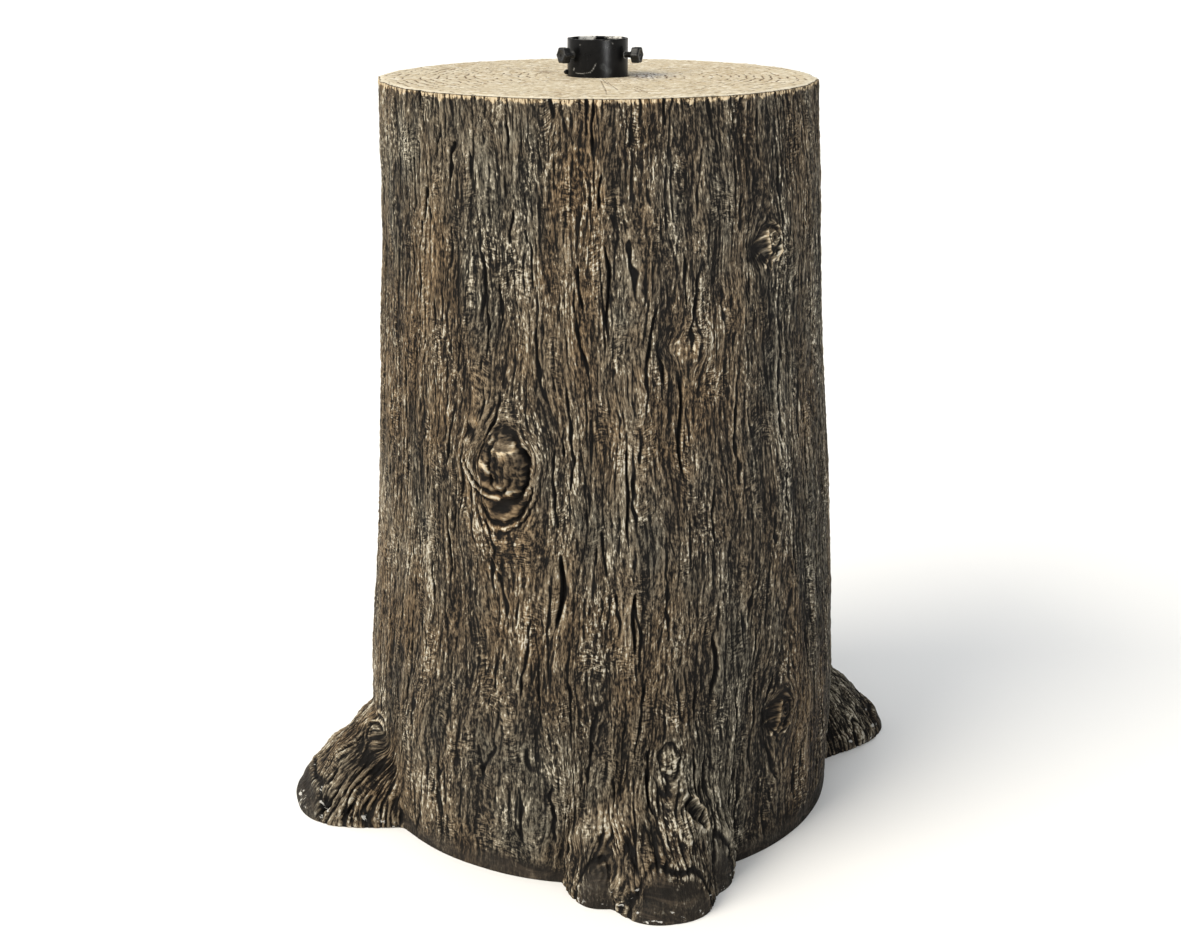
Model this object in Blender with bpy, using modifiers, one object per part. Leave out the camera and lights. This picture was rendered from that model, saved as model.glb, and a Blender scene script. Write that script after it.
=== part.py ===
"""Tree stump umbrella base: a hollow cast stump on four spreading roots, with a
steel pole socket through its middle and two thumbscrews in the socket's collar.

Metres, +Z up.  The origin is on the pole axis, on the ground.  -Y is the front.
"""
import math

import bmesh
import bpy
import numpy as np
from mathutils import Matrix, Vector

# ---------------------------------------------------------------- dimensions
STUMP_HEIGHT = 0.647          # ground to cut top
RIM_ROUND = 0.0035            # small round where the top meets the bark
WALL = 0.016                  # cast wall at the sides
TOP_WALL = 0.018              # cast wall at the top
COLUMNS = 80                  # facets round the stump
HEIGHTS = (0.6435, 0.56, 0.46, 0.36, 0.28, 0.21, 0.165, 0.135, 0.115, 0.098,
           0.082, 0.067, 0.053, 0.040, 0.028, 0.017, 0.008)

# trunk radius and sideways lean of its centre, by height
TRUNK_Z = (0.0, 0.03, 0.13, 0.22, 0.31, 0.40, 0.49, 0.58, 0.647)
TRUNK_R = (0.2155, 0.2155, 0.2135, 0.2072, 0.2020, 0.1950, 0.1900, 0.1870, 0.1835)
LEAN_X = (0.0026, 0.0028, 0.0050, 0.0062, 0.0055, 0.0049, 0.0042, 0.0024, 0.0000)

# roots: azimuth (degrees from +X), reach, half width at the trunk, half width
# at the end, ridge height at the trunk, ridge height at the end
ROOTS = (
    (-165.5, 0.2895, 0.0765, 0.060, 0.092, 0.020),   # left
    (-89.5, 0.2525, 0.037, 0.029, 0.098, 0.030),     # front, left lobe
    (-69.5, 0.2505, 0.047, 0.036, 0.118, 0.046),     # front, right lobe
    (-77.6, 0.2805, 0.056, 0.044, 0.116, 0.037),     # front, tongue
    (19.5, 0.2985, 0.072, 0.049, 0.104, 0.022),      # right, towards the back
    (110.0, 0.2860, 0.072, 0.058, 0.104, 0.024),     # back
)
ROOT_SMOOTH = 0.006           # how softly a root runs into the trunk

TUBE_R = 0.0254               # socket tube, 50.8 mm outside
TUBE_WALL = 0.0025
TUBE_STAND = 0.0305           # tube above the cut top
TUBE_GAP = 0.0004             # tube to the hole in the casting
GAP = 0.0003

CROSS_T = 0.006               # flat bar of the foot cross
CROSS_W = 0.045
CROSS_REACH = 0.190
LUG_IN, LUG_OUT, LUG_W, LUG_H = 0.162, 0.208, 0.040, 0.030
BOLT_R_POS = 0.1765           # pitch radius of the foot screws
BOLT_R = 0.004
BOLT_LEN = 0.026
BOLT_HEAD_R, BOLT_HEAD_H = 0.0076, 0.0038

SCREW_Z = STUMP_HEIGHT + 0.0175      # height of the thumbscrew axes
STUD_R = 0.0025                      # M5
STUD_FREE = 0.012                    # stud beyond the knob
STUD_HELD = 0.006                    # stud inside the knob
KNOB_LEN, KNOB_HUB = 0.0085, 0.0030
KNOB_R, KNOB_LOBE, KNOB_LOBES = 0.0061, 0.0005, 6
HUB_R = 0.0042
# thumbscrews: name, direction from the pole axis, inner end of the knob
SCREWS = (
    ("left", (-math.sin(math.radians(55.0)), -math.cos(math.radians(55.0))), 0.0290),
    ("right", (math.sin(math.radians(65.0)), -math.cos(math.radians(65.0))), 0.0307),
)


# ---------------------------------------------------------------- form rules
def trunk_radius(z):
    return np.interp(z, TRUNK_Z, TRUNK_R)


def lean(z):
    return np.interp(z, TRUNK_Z, LEAN_X)


def root_reach(theta, z, root):
    """How far a root reaches from the axis, at an angle and a height."""
    azimuth, reach, half0, half1, ridge0, ridge1 = root
    delta = (theta - math.radians(azimuth) + math.pi) % (2 * math.pi) - math.pi
    cos_d, sin_d = np.cos(delta), np.sin(delta)
    low = np.full(np.shape(delta * z), 0.05)
    high = np.full_like(low, 0.40)
    for _ in range(36):
        mid = 0.5 * (low + high)
        along, across = mid * cos_d, np.abs(mid * sin_d)
        t = np.clip((along - 0.20) / (reach - 0.20), -1.5, 1.0)
        half = half0 + (half1 - half0) * t
        ridge = ridge0 + (ridge1 - ridge0) * t
        inside = ((across / half) ** 2.4 + (z / ridge) ** 1.9
                  + (np.maximum(along, 0.0) / reach) ** 14) < 1.0
        inside &= cos_d > 0.2
        low = np.where(inside, mid, low)
        high = np.where(inside, high, mid)
    return low


def stump_radius(theta, z):
    r = trunk_radius(z) * np.ones_like(theta * z)
    for root in ROOTS:
        q = root_reach(theta, z, root)
        h = np.clip(0.5 + 0.5 * (q - r) / ROOT_SMOOTH, 0.0, 1.0)
        r = r * (1 - h) + q * h + ROOT_SMOOTH * h * (1 - h)
    return r


# ---------------------------------------------------------------- helpers
for old in list(bpy.data.objects):
    bpy.data.objects.remove(old, do_unlink=True)

parts = bpy.data.collections.new("tree_stump_umbrella_base")
cutters = bpy.data.collections.new("cutters")
bpy.context.scene.collection.children.link(parts)
bpy.context.scene.collection.children.link(cutters)


def material(name, color, roughness, metallic=0.0):
    m = bpy.data.materials.new(name)
    m.use_nodes = True
    p = m.node_tree.nodes["Principled BSDF"]
    p.inputs["Base Color"].default_value = (*color, 1.0)
    p.inputs["Roughness"].default_value = roughness
    p.inputs["Metallic"].default_value = metallic
    return m


def new_object(name, mesh, mat=None, cutter=False):
    ob = bpy.data.objects.new(name, mesh)
    (cutters if cutter else parts).objects.link(ob)
    if cutter:
        ob.hide_render = True
        ob.display_type = 'WIRE'
    if mat is not None:
        mesh.materials.clear()
        mesh.materials.append(mat)
    return ob


def evaluated_copy(ob, name):
    """A new mesh with the object's modifiers in it, in the object's own space."""
    dg = bpy.context.evaluated_depsgraph_get()
    dg.update()
    mesh = bpy.data.meshes.new_from_object(ob.evaluated_get(dg))
    mesh.name = name
    return mesh


def turned(name, profile, steps, cutter=False, mat=None):
    """A solid of revolution about Z: the profile runs down its outer side."""
    mesh = bpy.data.meshes.new(name)
    bm = bmesh.new()
    vs = [bm.verts.new((x, 0.0, z)) for x, z in profile]
    for a, b in zip(vs, vs[1:]):
        bm.edges.new((a, b))
    bm.to_mesh(mesh)
    bm.free()
    ob = new_object(name, mesh, mat, cutter)
    sc = ob.modifiers.new("Screw", 'SCREW')
    sc.axis = 'Z'
    sc.angle = 2 * math.pi
    sc.steps = steps
    sc.render_steps = steps
    sc.use_merge_vertices = True
    sc.merge_threshold = 0.00005
    sc.use_normal_calculate = False
    return ob


def fixed(ob):
    """Replace the object's mesh with its evaluated one and drop the modifiers."""
    mesh = evaluated_copy(ob, ob.name)
    ob.modifiers.clear()
    ob.data = mesh
    return ob


def boolean(ob, other, operation):
    m = ob.modifiers.new(operation.title(), 'BOOLEAN')
    m.operation = operation
    m.solver = 'EXACT'
    m.object = other


def box(name, size, location, angle=0.0, cutter=True, mat=None):
    mesh = bpy.data.meshes.new(name)
    bm = bmesh.new()
    bmesh.ops.create_cube(bm, size=1.0)
    bmesh.ops.scale(bm, vec=size, verts=bm.verts)
    bm.to_mesh(mesh)
    bm.free()
    ob = new_object(name, mesh, mat, cutter)
    ob.matrix_world = Matrix.Rotation(angle, 4, 'Z') @ Matrix.Translation(location)
    return ob


def rod(name, radius, z0, z1, segments, cutter=True, mat=None, radius_top=None):
    mesh = bpy.data.meshes.new(name)
    bm = bmesh.new()
    bmesh.ops.create_cone(bm, cap_ends=True, cap_tris=False, segments=segments,
                          radius1=radius,
                          radius2=radius if radius_top is None else radius_top,
                          depth=z1 - z0,
                          matrix=Matrix.Translation((0, 0, 0.5 * (z0 + z1))))
    bm.to_mesh(mesh)
    bm.free()
    return new_object(name, mesh, mat, cutter)


def smooth(ob, angle=35.0):
    ob.data.shade_smooth()
    ob.data.set_sharp_from_angle(angle=math.radians(angle))


def along(direction, distance, height):
    """A frame whose +Z points outward along a thumbscrew's axis."""
    d = Vector((direction[0], direction[1], 0.0)).normalized()
    up = Vector((0.0, 0.0, 1.0))
    side = up.cross(d)
    m = Matrix((
        (side.x, up.x, d.x, d.x * distance),
        (side.y, up.y, d.y, d.y * distance),
        (side.z, up.z, d.z, height),
        (0, 0, 0, 1)))
    return m


# ---------------------------------------------------------------- materials
CAST = material("cast_bark", (0.11, 0.095, 0.07), 0.85)
BLACK = material("black_painted_steel", (0.012, 0.012, 0.013), 0.38, 0.0)
STEEL = material("zinc_steel", (0.45, 0.45, 0.44), 0.35, 1.0)
KNOB = material("black_plastic", (0.010, 0.010, 0.011), 0.45)

# ---------------------------------------------------------------- stump casting
# outside: a turned blank whose vertices then move to the stump's section
profile = [(0.0, STUMP_HEIGHT), (0.06, STUMP_HEIGHT), (0.12, STUMP_HEIGHT),
           (float(trunk_radius(STUMP_HEIGHT)) - RIM_ROUND, STUMP_HEIGHT)]
profile += [(float(trunk_radius(z)), z) for z in HEIGHTS]
profile += [(float(trunk_radius(0.0)), 0.0), (0.19, 0.0), (0.0, 0.0)]
casting = fixed(turned("stump_casting", profile, COLUMNS, mat=CAST))
co = np.empty(len(casting.data.vertices) * 3)
casting.data.vertices.foreach_get("co", co)
co = co.reshape(-1, 3)
radius = np.hypot(co[:, 0], co[:, 1])
theta = np.arctan2(co[:, 1], co[:, 0])
z = co[:, 2]
skin = (z < STUMP_HEIGHT - 0.001) & (radius > 0.195) | (
    (z < STUMP_HEIGHT - 0.001) & (z > 0.001) & (radius > 0.1))
radius = np.where(skin, stump_radius(theta, z), radius)
co[:, 0] = radius * np.cos(theta) + np.where(radius > 1e-6, lean(z), 0.0)
co[:, 1] = radius * np.sin(theta)
casting.data.vertices.foreach_set("co", co.ravel())
casting.data.update()

# inside: a plain tapered hollow, open at the ground
hollow_z = (0.30, 0.13, 0.0)
top_in = STUMP_HEIGHT - TOP_WALL
profile = [(0.0, top_in), (float(trunk_radius(top_in)) - WALL - 0.008, top_in),
           (float(trunk_radius(top_in)) - WALL, top_in - 0.010)]
profile += [(float(trunk_radius(h)) - WALL, h) for h in hollow_z]
profile += [(float(trunk_radius(0.0)) - WALL, -0.02), (0.0, -0.02)]
hollow = fixed(turned("hollow", profile, 60, cutter=True))
co = np.empty(len(hollow.data.vertices) * 3)
hollow.data.vertices.foreach_get("co", co)
co = co.reshape(-1, 3)
co[:, 0] += np.where(np.hypot(co[:, 0], co[:, 1]) > 1e-6, lean(np.maximum(co[:, 2], 0.0)), 0.0)
hollow.data.vertices.foreach_set("co", co.ravel())
hollow.data.update()
boolean(casting, hollow, 'DIFFERENCE')

tube_hole = rod("tube_hole", TUBE_R + TUBE_GAP, STUMP_HEIGHT - 0.05, STUMP_HEIGHT + 0.02, 48)
boolean(casting, tube_hole, 'DIFFERENCE')

lug_angles = [math.radians(a) for a in (45.0, 135.0, 225.0, 315.0)]
z_lug = CROSS_T + GAP
for i, a in enumerate(lug_angles):
    lug = box("lug_%d" % (i + 1), (LUG_OUT - LUG_IN, LUG_W, LUG_H),
              (0.5 * (LUG_IN + LUG_OUT), 0.0, z_lug + 0.5 * LUG_H), a)
    boolean(casting, lug, 'UNION')
for i, a in enumerate(lug_angles):
    bore = rod("lug_bore_%d" % (i + 1), BOLT_R + GAP, z_lug - 0.004, BOLT_LEN + 0.002, 20)
    bore.matrix_world = Matrix.Rotation(a, 4, 'Z') @ Matrix.Translation((BOLT_R_POS, 0, 0))
    boolean(casting, bore, 'DIFFERENCE')
casting = fixed(casting)
smooth(casting, 40.0)

# ---------------------------------------------------------------- pole tube
tube_bottom = CROSS_T + GAP
tube_top = STUMP_HEIGHT + TUBE_STAND
ri = TUBE_R - TUBE_WALL
chamfer = 0.0004
tube = turned("pole_tube", [
    (ri, tube_top), (TUBE_R - chamfer, tube_top), (TUBE_R, tube_top - chamfer),
    (TUBE_R, tube_bottom), (ri, tube_bottom), (ri, tube_top)], 64, mat=BLACK)
tube = fixed(tube)
bm = bmesh.new()
bm.from_mesh(tube.data)
bmesh.ops.remove_doubles(bm, verts=bm.verts, dist=0.00002)
bm.to_mesh(tube.data)
bm.free()
for name, d, knob_in in SCREWS:
    tap = rod("tap_" + name, STUD_R + GAP, 0.012, 0.040, 20)
    tap.matrix_world = along(d, 0.0, SCREW_Z)
    boolean(tube, tap, 'DIFFERENCE')
tube = fixed(tube)
smooth(tube)

# ---------------------------------------------------------------- foot cross
cross = box("foot_cross", (2 * CROSS_REACH, CROSS_W, CROSS_T), (0, 0, 0.5 * CROSS_T),
            math.radians(45.0), cutter=False, mat=STEEL)
arm = box("cross_arm", (2 * CROSS_REACH, CROSS_W, CROSS_T), (0, 0, 0.5 * CROSS_T),
          math.radians(135.0))
boolean(cross, arm, 'UNION')
for i, a in enumerate(lug_angles):
    place = Matrix.Rotation(a, 4, 'Z') @ Matrix.Translation((BOLT_R_POS, 0, 0))
    sink = fixed(turned("cross_sink_%d" % (i + 1), [
        (0.0, CROSS_T + 0.003), (BOLT_R + GAP, CROSS_T + 0.003),
        (BOLT_R + GAP, BOLT_HEAD_H + 0.0014), (BOLT_HEAD_R + 0.0002, 0.0013),
        (BOLT_HEAD_R + 0.0002, -0.002), (0.0, -0.002)], 20, cutter=True))
    sink.matrix_world = place
    boolean(cross, sink, 'DIFFERENCE')
cross = fixed(cross)
world = cross.matrix_world.copy()
cross.data.transform(world)
cross.matrix_world = Matrix.Identity(4)

# ---------------------------------------------------------------- foot screws
for i, a in enumerate(lug_angles):
    z0 = 0.0004
    bolt = turned("foot_bolt_%d" % (i + 1), [
        (0.0, BOLT_LEN), (BOLT_R - 0.0008, BOLT_LEN), (BOLT_R, BOLT_LEN - 0.0008),
        (BOLT_R, BOLT_HEAD_H + 0.0006), (BOLT_HEAD_R - 0.0002, z0 + 0.0005),
        (BOLT_HEAD_R - 0.0002, z0), (0.0, z0)], 20, mat=STEEL)
    socket = rod("bolt_socket_%d" % (i + 1), 0.0027, -0.002, 0.0028, 6)
    place = Matrix.Rotation(a, 4, 'Z') @ Matrix.Translation((BOLT_R_POS, 0, 0))
    bolt.matrix_world = place
    socket.matrix_world = place
    boolean(bolt, socket, 'DIFFERENCE')
    bolt = fixed(bolt)
    smooth(bolt)

# ---------------------------------------------------------------- thumbscrews
for name, d, knob_in in SCREWS:
    # the slide and the spin both run along this axis
    axis = bpy.data.objects.new(name + "_screw_axis", None)
    parts.objects.link(axis)
    axis.matrix_world = along(d, knob_in, SCREW_Z)

    stud = turned(name + "_stud", [
        (0.0, STUD_HELD), (STUD_R, STUD_HELD),
        (STUD_R, -STUD_FREE + 0.0006), (STUD_R - 0.0006, -STUD_FREE),
        (0.0, -STUD_FREE)], 24, mat=BLACK)
    stud = fixed(stud)
    stud.parent = axis
    smooth(stud)

    bore = STUD_R + GAP
    prof = [(0.0, KNOB_LEN - 0.0005), (0.0030, KNOB_LEN - 0.0005), (0.0034, KNOB_LEN),
            (KNOB_R - 0.0007, KNOB_LEN), (KNOB_R, KNOB_LEN - 0.0007),
            (KNOB_R, KNOB_HUB + 0.0007), (KNOB_R - 0.0007, KNOB_HUB),
            (HUB_R, KNOB_HUB - 0.0004), (HUB_R - 0.0006, 0.0),
            (bore, 0.0), (bore, STUD_HELD + GAP), (0.0, STUD_HELD + GAP)]
    knob = fixed(turned(name + "_knob", prof, 36, mat=KNOB))
    for v in knob.data.vertices:
        r = math.hypot(v.co.x, v.co.y)
        if r > HUB_R + 0.0004:
            phi = math.atan2(v.co.y, v.co.x)
            k = 1.0 + KNOB_LOBE * math.cos(KNOB_LOBES * phi) / KNOB_R
            v.co.x *= k
            v.co.y *= k
    knob.data.update()
    knob.parent = axis
    smooth(knob, 30.0)
bpy.context.view_layer.update()
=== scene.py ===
"""Looks of the tree stump umbrella base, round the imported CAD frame."""
import math

import bmesh
import bpy
import numpy as np
from mathutils import Matrix, Vector


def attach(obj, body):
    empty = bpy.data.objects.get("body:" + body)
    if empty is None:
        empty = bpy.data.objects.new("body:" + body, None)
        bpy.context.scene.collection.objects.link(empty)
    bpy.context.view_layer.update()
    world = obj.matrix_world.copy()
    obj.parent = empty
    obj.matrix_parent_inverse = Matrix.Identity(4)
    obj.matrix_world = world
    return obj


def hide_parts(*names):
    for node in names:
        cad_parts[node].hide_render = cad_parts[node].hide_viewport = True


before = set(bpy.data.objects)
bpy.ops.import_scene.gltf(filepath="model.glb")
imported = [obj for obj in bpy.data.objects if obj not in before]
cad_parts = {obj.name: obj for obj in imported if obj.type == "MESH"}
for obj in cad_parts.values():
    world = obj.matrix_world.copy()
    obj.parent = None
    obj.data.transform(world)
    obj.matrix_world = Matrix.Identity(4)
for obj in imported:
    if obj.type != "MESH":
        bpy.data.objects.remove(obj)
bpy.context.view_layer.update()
F32 = np.float32
TAU = 2.0 * math.pi

# ------------------------------------------------------------------ the form
HEIGHT = 0.647
WALL, TOP_WALL = 0.016, 0.018
HOLE_R = 0.0258
TRUNK_Z = (0.0, 0.03, 0.13, 0.22, 0.31, 0.40, 0.49, 0.58, 0.647)
TRUNK_R = (0.2155, 0.2155, 0.2135, 0.2072, 0.2020, 0.1950, 0.1900, 0.1870, 0.1835)
LEAN_X = (0.0026, 0.0028, 0.0050, 0.0062, 0.0055, 0.0049, 0.0042, 0.0024, 0.0000)
ROOTS = (
    (-165.5, 0.2895, 0.0765, 0.060, 0.092, 0.020),   # left
    (-89.5, 0.2525, 0.037, 0.029, 0.098, 0.030),     # front, left lobe
    (-69.5, 0.2505, 0.047, 0.036, 0.118, 0.046),     # front, right lobe
    (-77.6, 0.2805, 0.056, 0.044, 0.116, 0.037),     # front, tongue
    (19.5, 0.2985, 0.072, 0.049, 0.104, 0.022),      # right, towards the back
    (110.0, 0.2860, 0.072, 0.058, 0.104, 0.024),     # back
)
ROOT_SMOOTH = 0.006
SEAM = math.radians(152.0)          # the mesh seam, on the far side

NU = 1536                           # columns round the stump
_fine = np.linspace(0.0, HEIGHT, 400)


def _soft(table):
    """The table as a smooth curve, sampled finely."""
    v = np.interp(_fine, TRUNK_Z, table)
    k = np.hanning(41)
    k /= k.sum()
    pad = np.pad(v, 20, mode="reflect", reflect_type="odd")
    return np.convolve(pad, k, mode="valid")


_trunk, _lean = _soft(TRUNK_R), _soft(LEAN_X)


def trunk_radius(z):
    return np.interp(z, _fine, _trunk)


def lean(z):
    return np.interp(z, _fine, _lean)


def root_field(theta, z, root):
    """Reach of a root from the axis, and how near its cut end the point is."""
    azimuth, reach, half0, half1, ridge0, ridge1 = root
    delta = (theta - math.radians(azimuth) + math.pi) % TAU - math.pi
    cos_d, sin_d = np.cos(delta), np.sin(delta)
    low = np.full(np.shape(delta * z), 0.05)
    high = np.full_like(low, 0.40)
    for _ in range(22):
        mid = 0.5 * (low + high)
        along, across = mid * cos_d, np.abs(mid * sin_d)
        t = np.clip((along - 0.20) / (reach - 0.20), -1.5, 1.0)
        half = half0 + (half1 - half0) * t
        ridge = ridge0 + (ridge1 - ridge0) * t
        inside = ((across / half) ** 2.4 + (z / ridge) ** 1.9
                  + (np.maximum(along, 0.0) / reach) ** 14) < 1.0
        inside &= cos_d > 0.2
        low = np.where(inside, mid, low)
        high = np.where(inside, high, mid)
    end = (np.maximum(low * cos_d, 0.0) / reach) ** 14
    return low, end


def stump_form(theta, z):
    r = trunk_radius(z) * np.ones_like(theta * z)
    root = np.zeros_like(r)
    end = np.zeros_like(r)
    for spec in ROOTS:
        q, e = root_field(theta, z, spec)
        h = np.clip(0.5 + 0.5 * (q - r) / ROOT_SMOOTH, 0.0, 1.0)
        end = end * (1 - h) + e * h
        root = np.maximum(root, h)
        r = r * (1 - h) + q * h + ROOT_SMOOTH * h * (1 - h)
    return r, root, end


# ------------------------------------------------------------------ noise
def smoothstep(a, b, x):
    t = np.clip((x - a) / (b - a), 0.0, 1.0)
    return t * t * (3 - 2 * t)


def perlin(x, y, nx, seed):
    """Gradient noise, about -1..1, repeating after nx cells in x."""
    rng = np.random.default_rng(seed)
    ang = rng.random((nx, 512)) * TAU
    gx, gy = np.cos(ang).astype(F32), np.sin(ang).astype(F32)
    xi, yi = np.floor(x), np.floor(y)
    fx, fy = (x - xi).astype(F32), (y - yi).astype(F32)
    xi, yi = xi.astype(np.int64), yi.astype(np.int64)
    x0, x1 = xi % nx, (xi + 1) % nx
    y0, y1 = yi % 512, (yi + 1) % 512
    sx = fx * fx * fx * (fx * (fx * 6 - 15) + 10)
    sy = fy * fy * fy * (fy * (fy * 6 - 15) + 10)

    def corner(i, j, dx, dy):
        return gx[i, j] * dx + gy[i, j] * dy
    a = corner(x0, y0, fx, fy)
    b = corner(x1, y0, fx - 1, fy)
    c = corner(x0, y1, fx, fy - 1)
    d = corner(x1, y1, fx - 1, fy - 1)
    top = a + (b - a) * sx
    bot = c + (d - c) * sx
    return (top + (bot - top) * sy) * 1.5


def cells(x, y, nx, seed):
    """Distances to the nearest two cell points, and the nearest cell's value."""
    rng = np.random.default_rng(seed)
    px = rng.random((nx, 512)).astype(F32)
    py = rng.random((nx, 512)).astype(F32)
    pv = rng.random((nx, 512)).astype(F32)
    xi, yi = np.floor(x), np.floor(y)
    fx, fy = (x - xi).astype(F32), (y - yi).astype(F32)
    xi, yi = xi.astype(np.int64), yi.astype(np.int64)
    f1 = np.full(x.shape, 9.0, F32)
    f2 = np.full(x.shape, 9.0, F32)
    val = np.zeros(x.shape, F32)
    for di in (-1, 0, 1):
        for dj in (-1, 0, 1):
            i, j = (xi + di) % nx, (yi + dj) % 512
            dx = px[i, j] + di - fx
            dy = py[i, j] + dj - fy
            d = np.sqrt(dx * dx + dy * dy)
            near = d < f1
            f2 = np.where(near, f1, np.minimum(f2, d))
            val = np.where(near, pv[i, j], val)
            f1 = np.where(near, d, f1)
    return f1, f2, val


ROUND = TAU * 0.2                    # metres round the trunk, for the pattern


def grain(u, v, du, dv, seed, kind="perlin"):
    """Noise with cells about du wide and dv tall, in metres."""
    nx = max(3, int(round(ROUND / du)))
    x = u / ROUND * nx
    y = v / dv + 37.0 * (seed % 7)
    if kind == "perlin":
        return perlin(x, y, nx, seed)
    return cells(x, y, nx, seed)


def blur(a, su, sv):
    """Gaussian blur of a grid (rows, columns); columns wrap round."""
    def kernel(s):
        n = max(1, int(3 * s))
        k = np.exp(-0.5 * (np.arange(-n, n + 1) / s) ** 2)
        return (k / k.sum()).astype(F32), n
    k, n = kernel(su)
    pad = np.concatenate([a[:, -n:], a, a[:, :n]], axis=1)
    out = np.zeros_like(a)
    for i, w in enumerate(k):
        out += w * pad[:, i:i + a.shape[1]]
    k, n = kernel(sv)
    pad = np.concatenate([np.repeat(out[:1], n, 0), out, np.repeat(out[-1:], n, 0)], axis=0)
    res = np.zeros_like(a)
    for i, w in enumerate(k):
        res += w * pad[i:i + a.shape[0]]
    return res


# ------------------------------------------------------------------ outside grid
rows_z = np.concatenate([
    np.linspace(HEIGHT - 0.0018, 0.16, 470, endpoint=False),
    np.linspace(0.16, 0.0, 215)])
NR_OUT = len(rows_z)
u_line = (np.arange(NU) / NU)

# columns drift so that, low down, they lie evenly along the root outline
fine = np.linspace(0, TAU, 6000, endpoint=False) + SEAM
r_low, _, _ = stump_form(fine, np.full_like(fine, 0.012))
pts = np.stack([r_low * np.cos(fine), r_low * np.sin(fine)], 1)
seg = np.hypot(*(np.roll(pts, -1, 0) - pts).T)
s_low = np.concatenate([[0], np.cumsum(seg)])
s_low /= s_low[-1]
theta_low = np.interp(u_line, s_low, np.concatenate([fine, [SEAM + TAU]]))
theta_top = SEAM + TAU * u_line
mix_low = smoothstep(0.24, 0.05, rows_z)[:, None]
theta = theta_top[None, :] * (1 - mix_low) + theta_low[None, :] * mix_low
z_grid = np.repeat(rows_z[:, None], NU, 1)
r_base, on_root, at_end = stump_form(theta, z_grid)
P = np.stack([r_base * np.cos(theta) + lean(z_grid), r_base * np.sin(theta), z_grid], -1)
du_vec = np.roll(P, -1, 1) - np.roll(P, 1, 1)
dv_vec = np.gradient(P, axis=0)
N = np.cross(du_vec, -dv_vec)
N /= np.linalg.norm(N, axis=-1, keepdims=True) + 1e-12
step = np.linalg.norm(np.diff(P, axis=0), axis=-1)
path = np.concatenate([np.zeros((1, NU)), np.cumsum(step, 0)], 0)
U = np.repeat(u_line[None, :] * ROUND, NR_OUT, 0)
V = HEIGHT - path
del dv_vec

# ------------------------------------------------------------------ knots
# azimuth, height, half width, half height, tilt, kind
KNOTS = (
    (-113.5, 0.3545, 0.0225, 0.0370, 0.0, "branch"),
    (-44.9, 0.532, 0.0125, 0.0150, 0.25, "eye"),
    (-43.6, 0.128, 0.0130, 0.0180, -0.15, "eye"),
    (-70.5, 0.070, 0.0100, 0.0150, 0.25, "hollow"),
    (-75.2, 0.112, 0.0085, 0.0150, 0.0, "stub"),
    (-89.5, 0.032, 0.0110, 0.0150, 0.0, "bump"),
    (-69.7, 0.455, 0.0130, 0.0120, 0.0, "scar"),
    (-157.0, 0.072, 0.0125, 0.0150, 0.5, "burl"),
    (62.0, 0.400, 0.0220, 0.0310, -0.1, "branch"),
    (138.0, 0.250, 0.0140, 0.0180, 0.1, "eye"),
    (84.0, 0.170, 0.0130, 0.0160, 0.1, "eye"),
    (20.0, 0.540, 0.0110, 0.0150, 0.1, "eye"),
)
knot_h = np.zeros_like(U)            # height added, metres
knot_calm = np.zeros_like(U)         # where the bark pattern fades
knot_cream = np.zeros_like(U)
knot_dark = np.zeros_like(U)
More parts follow.
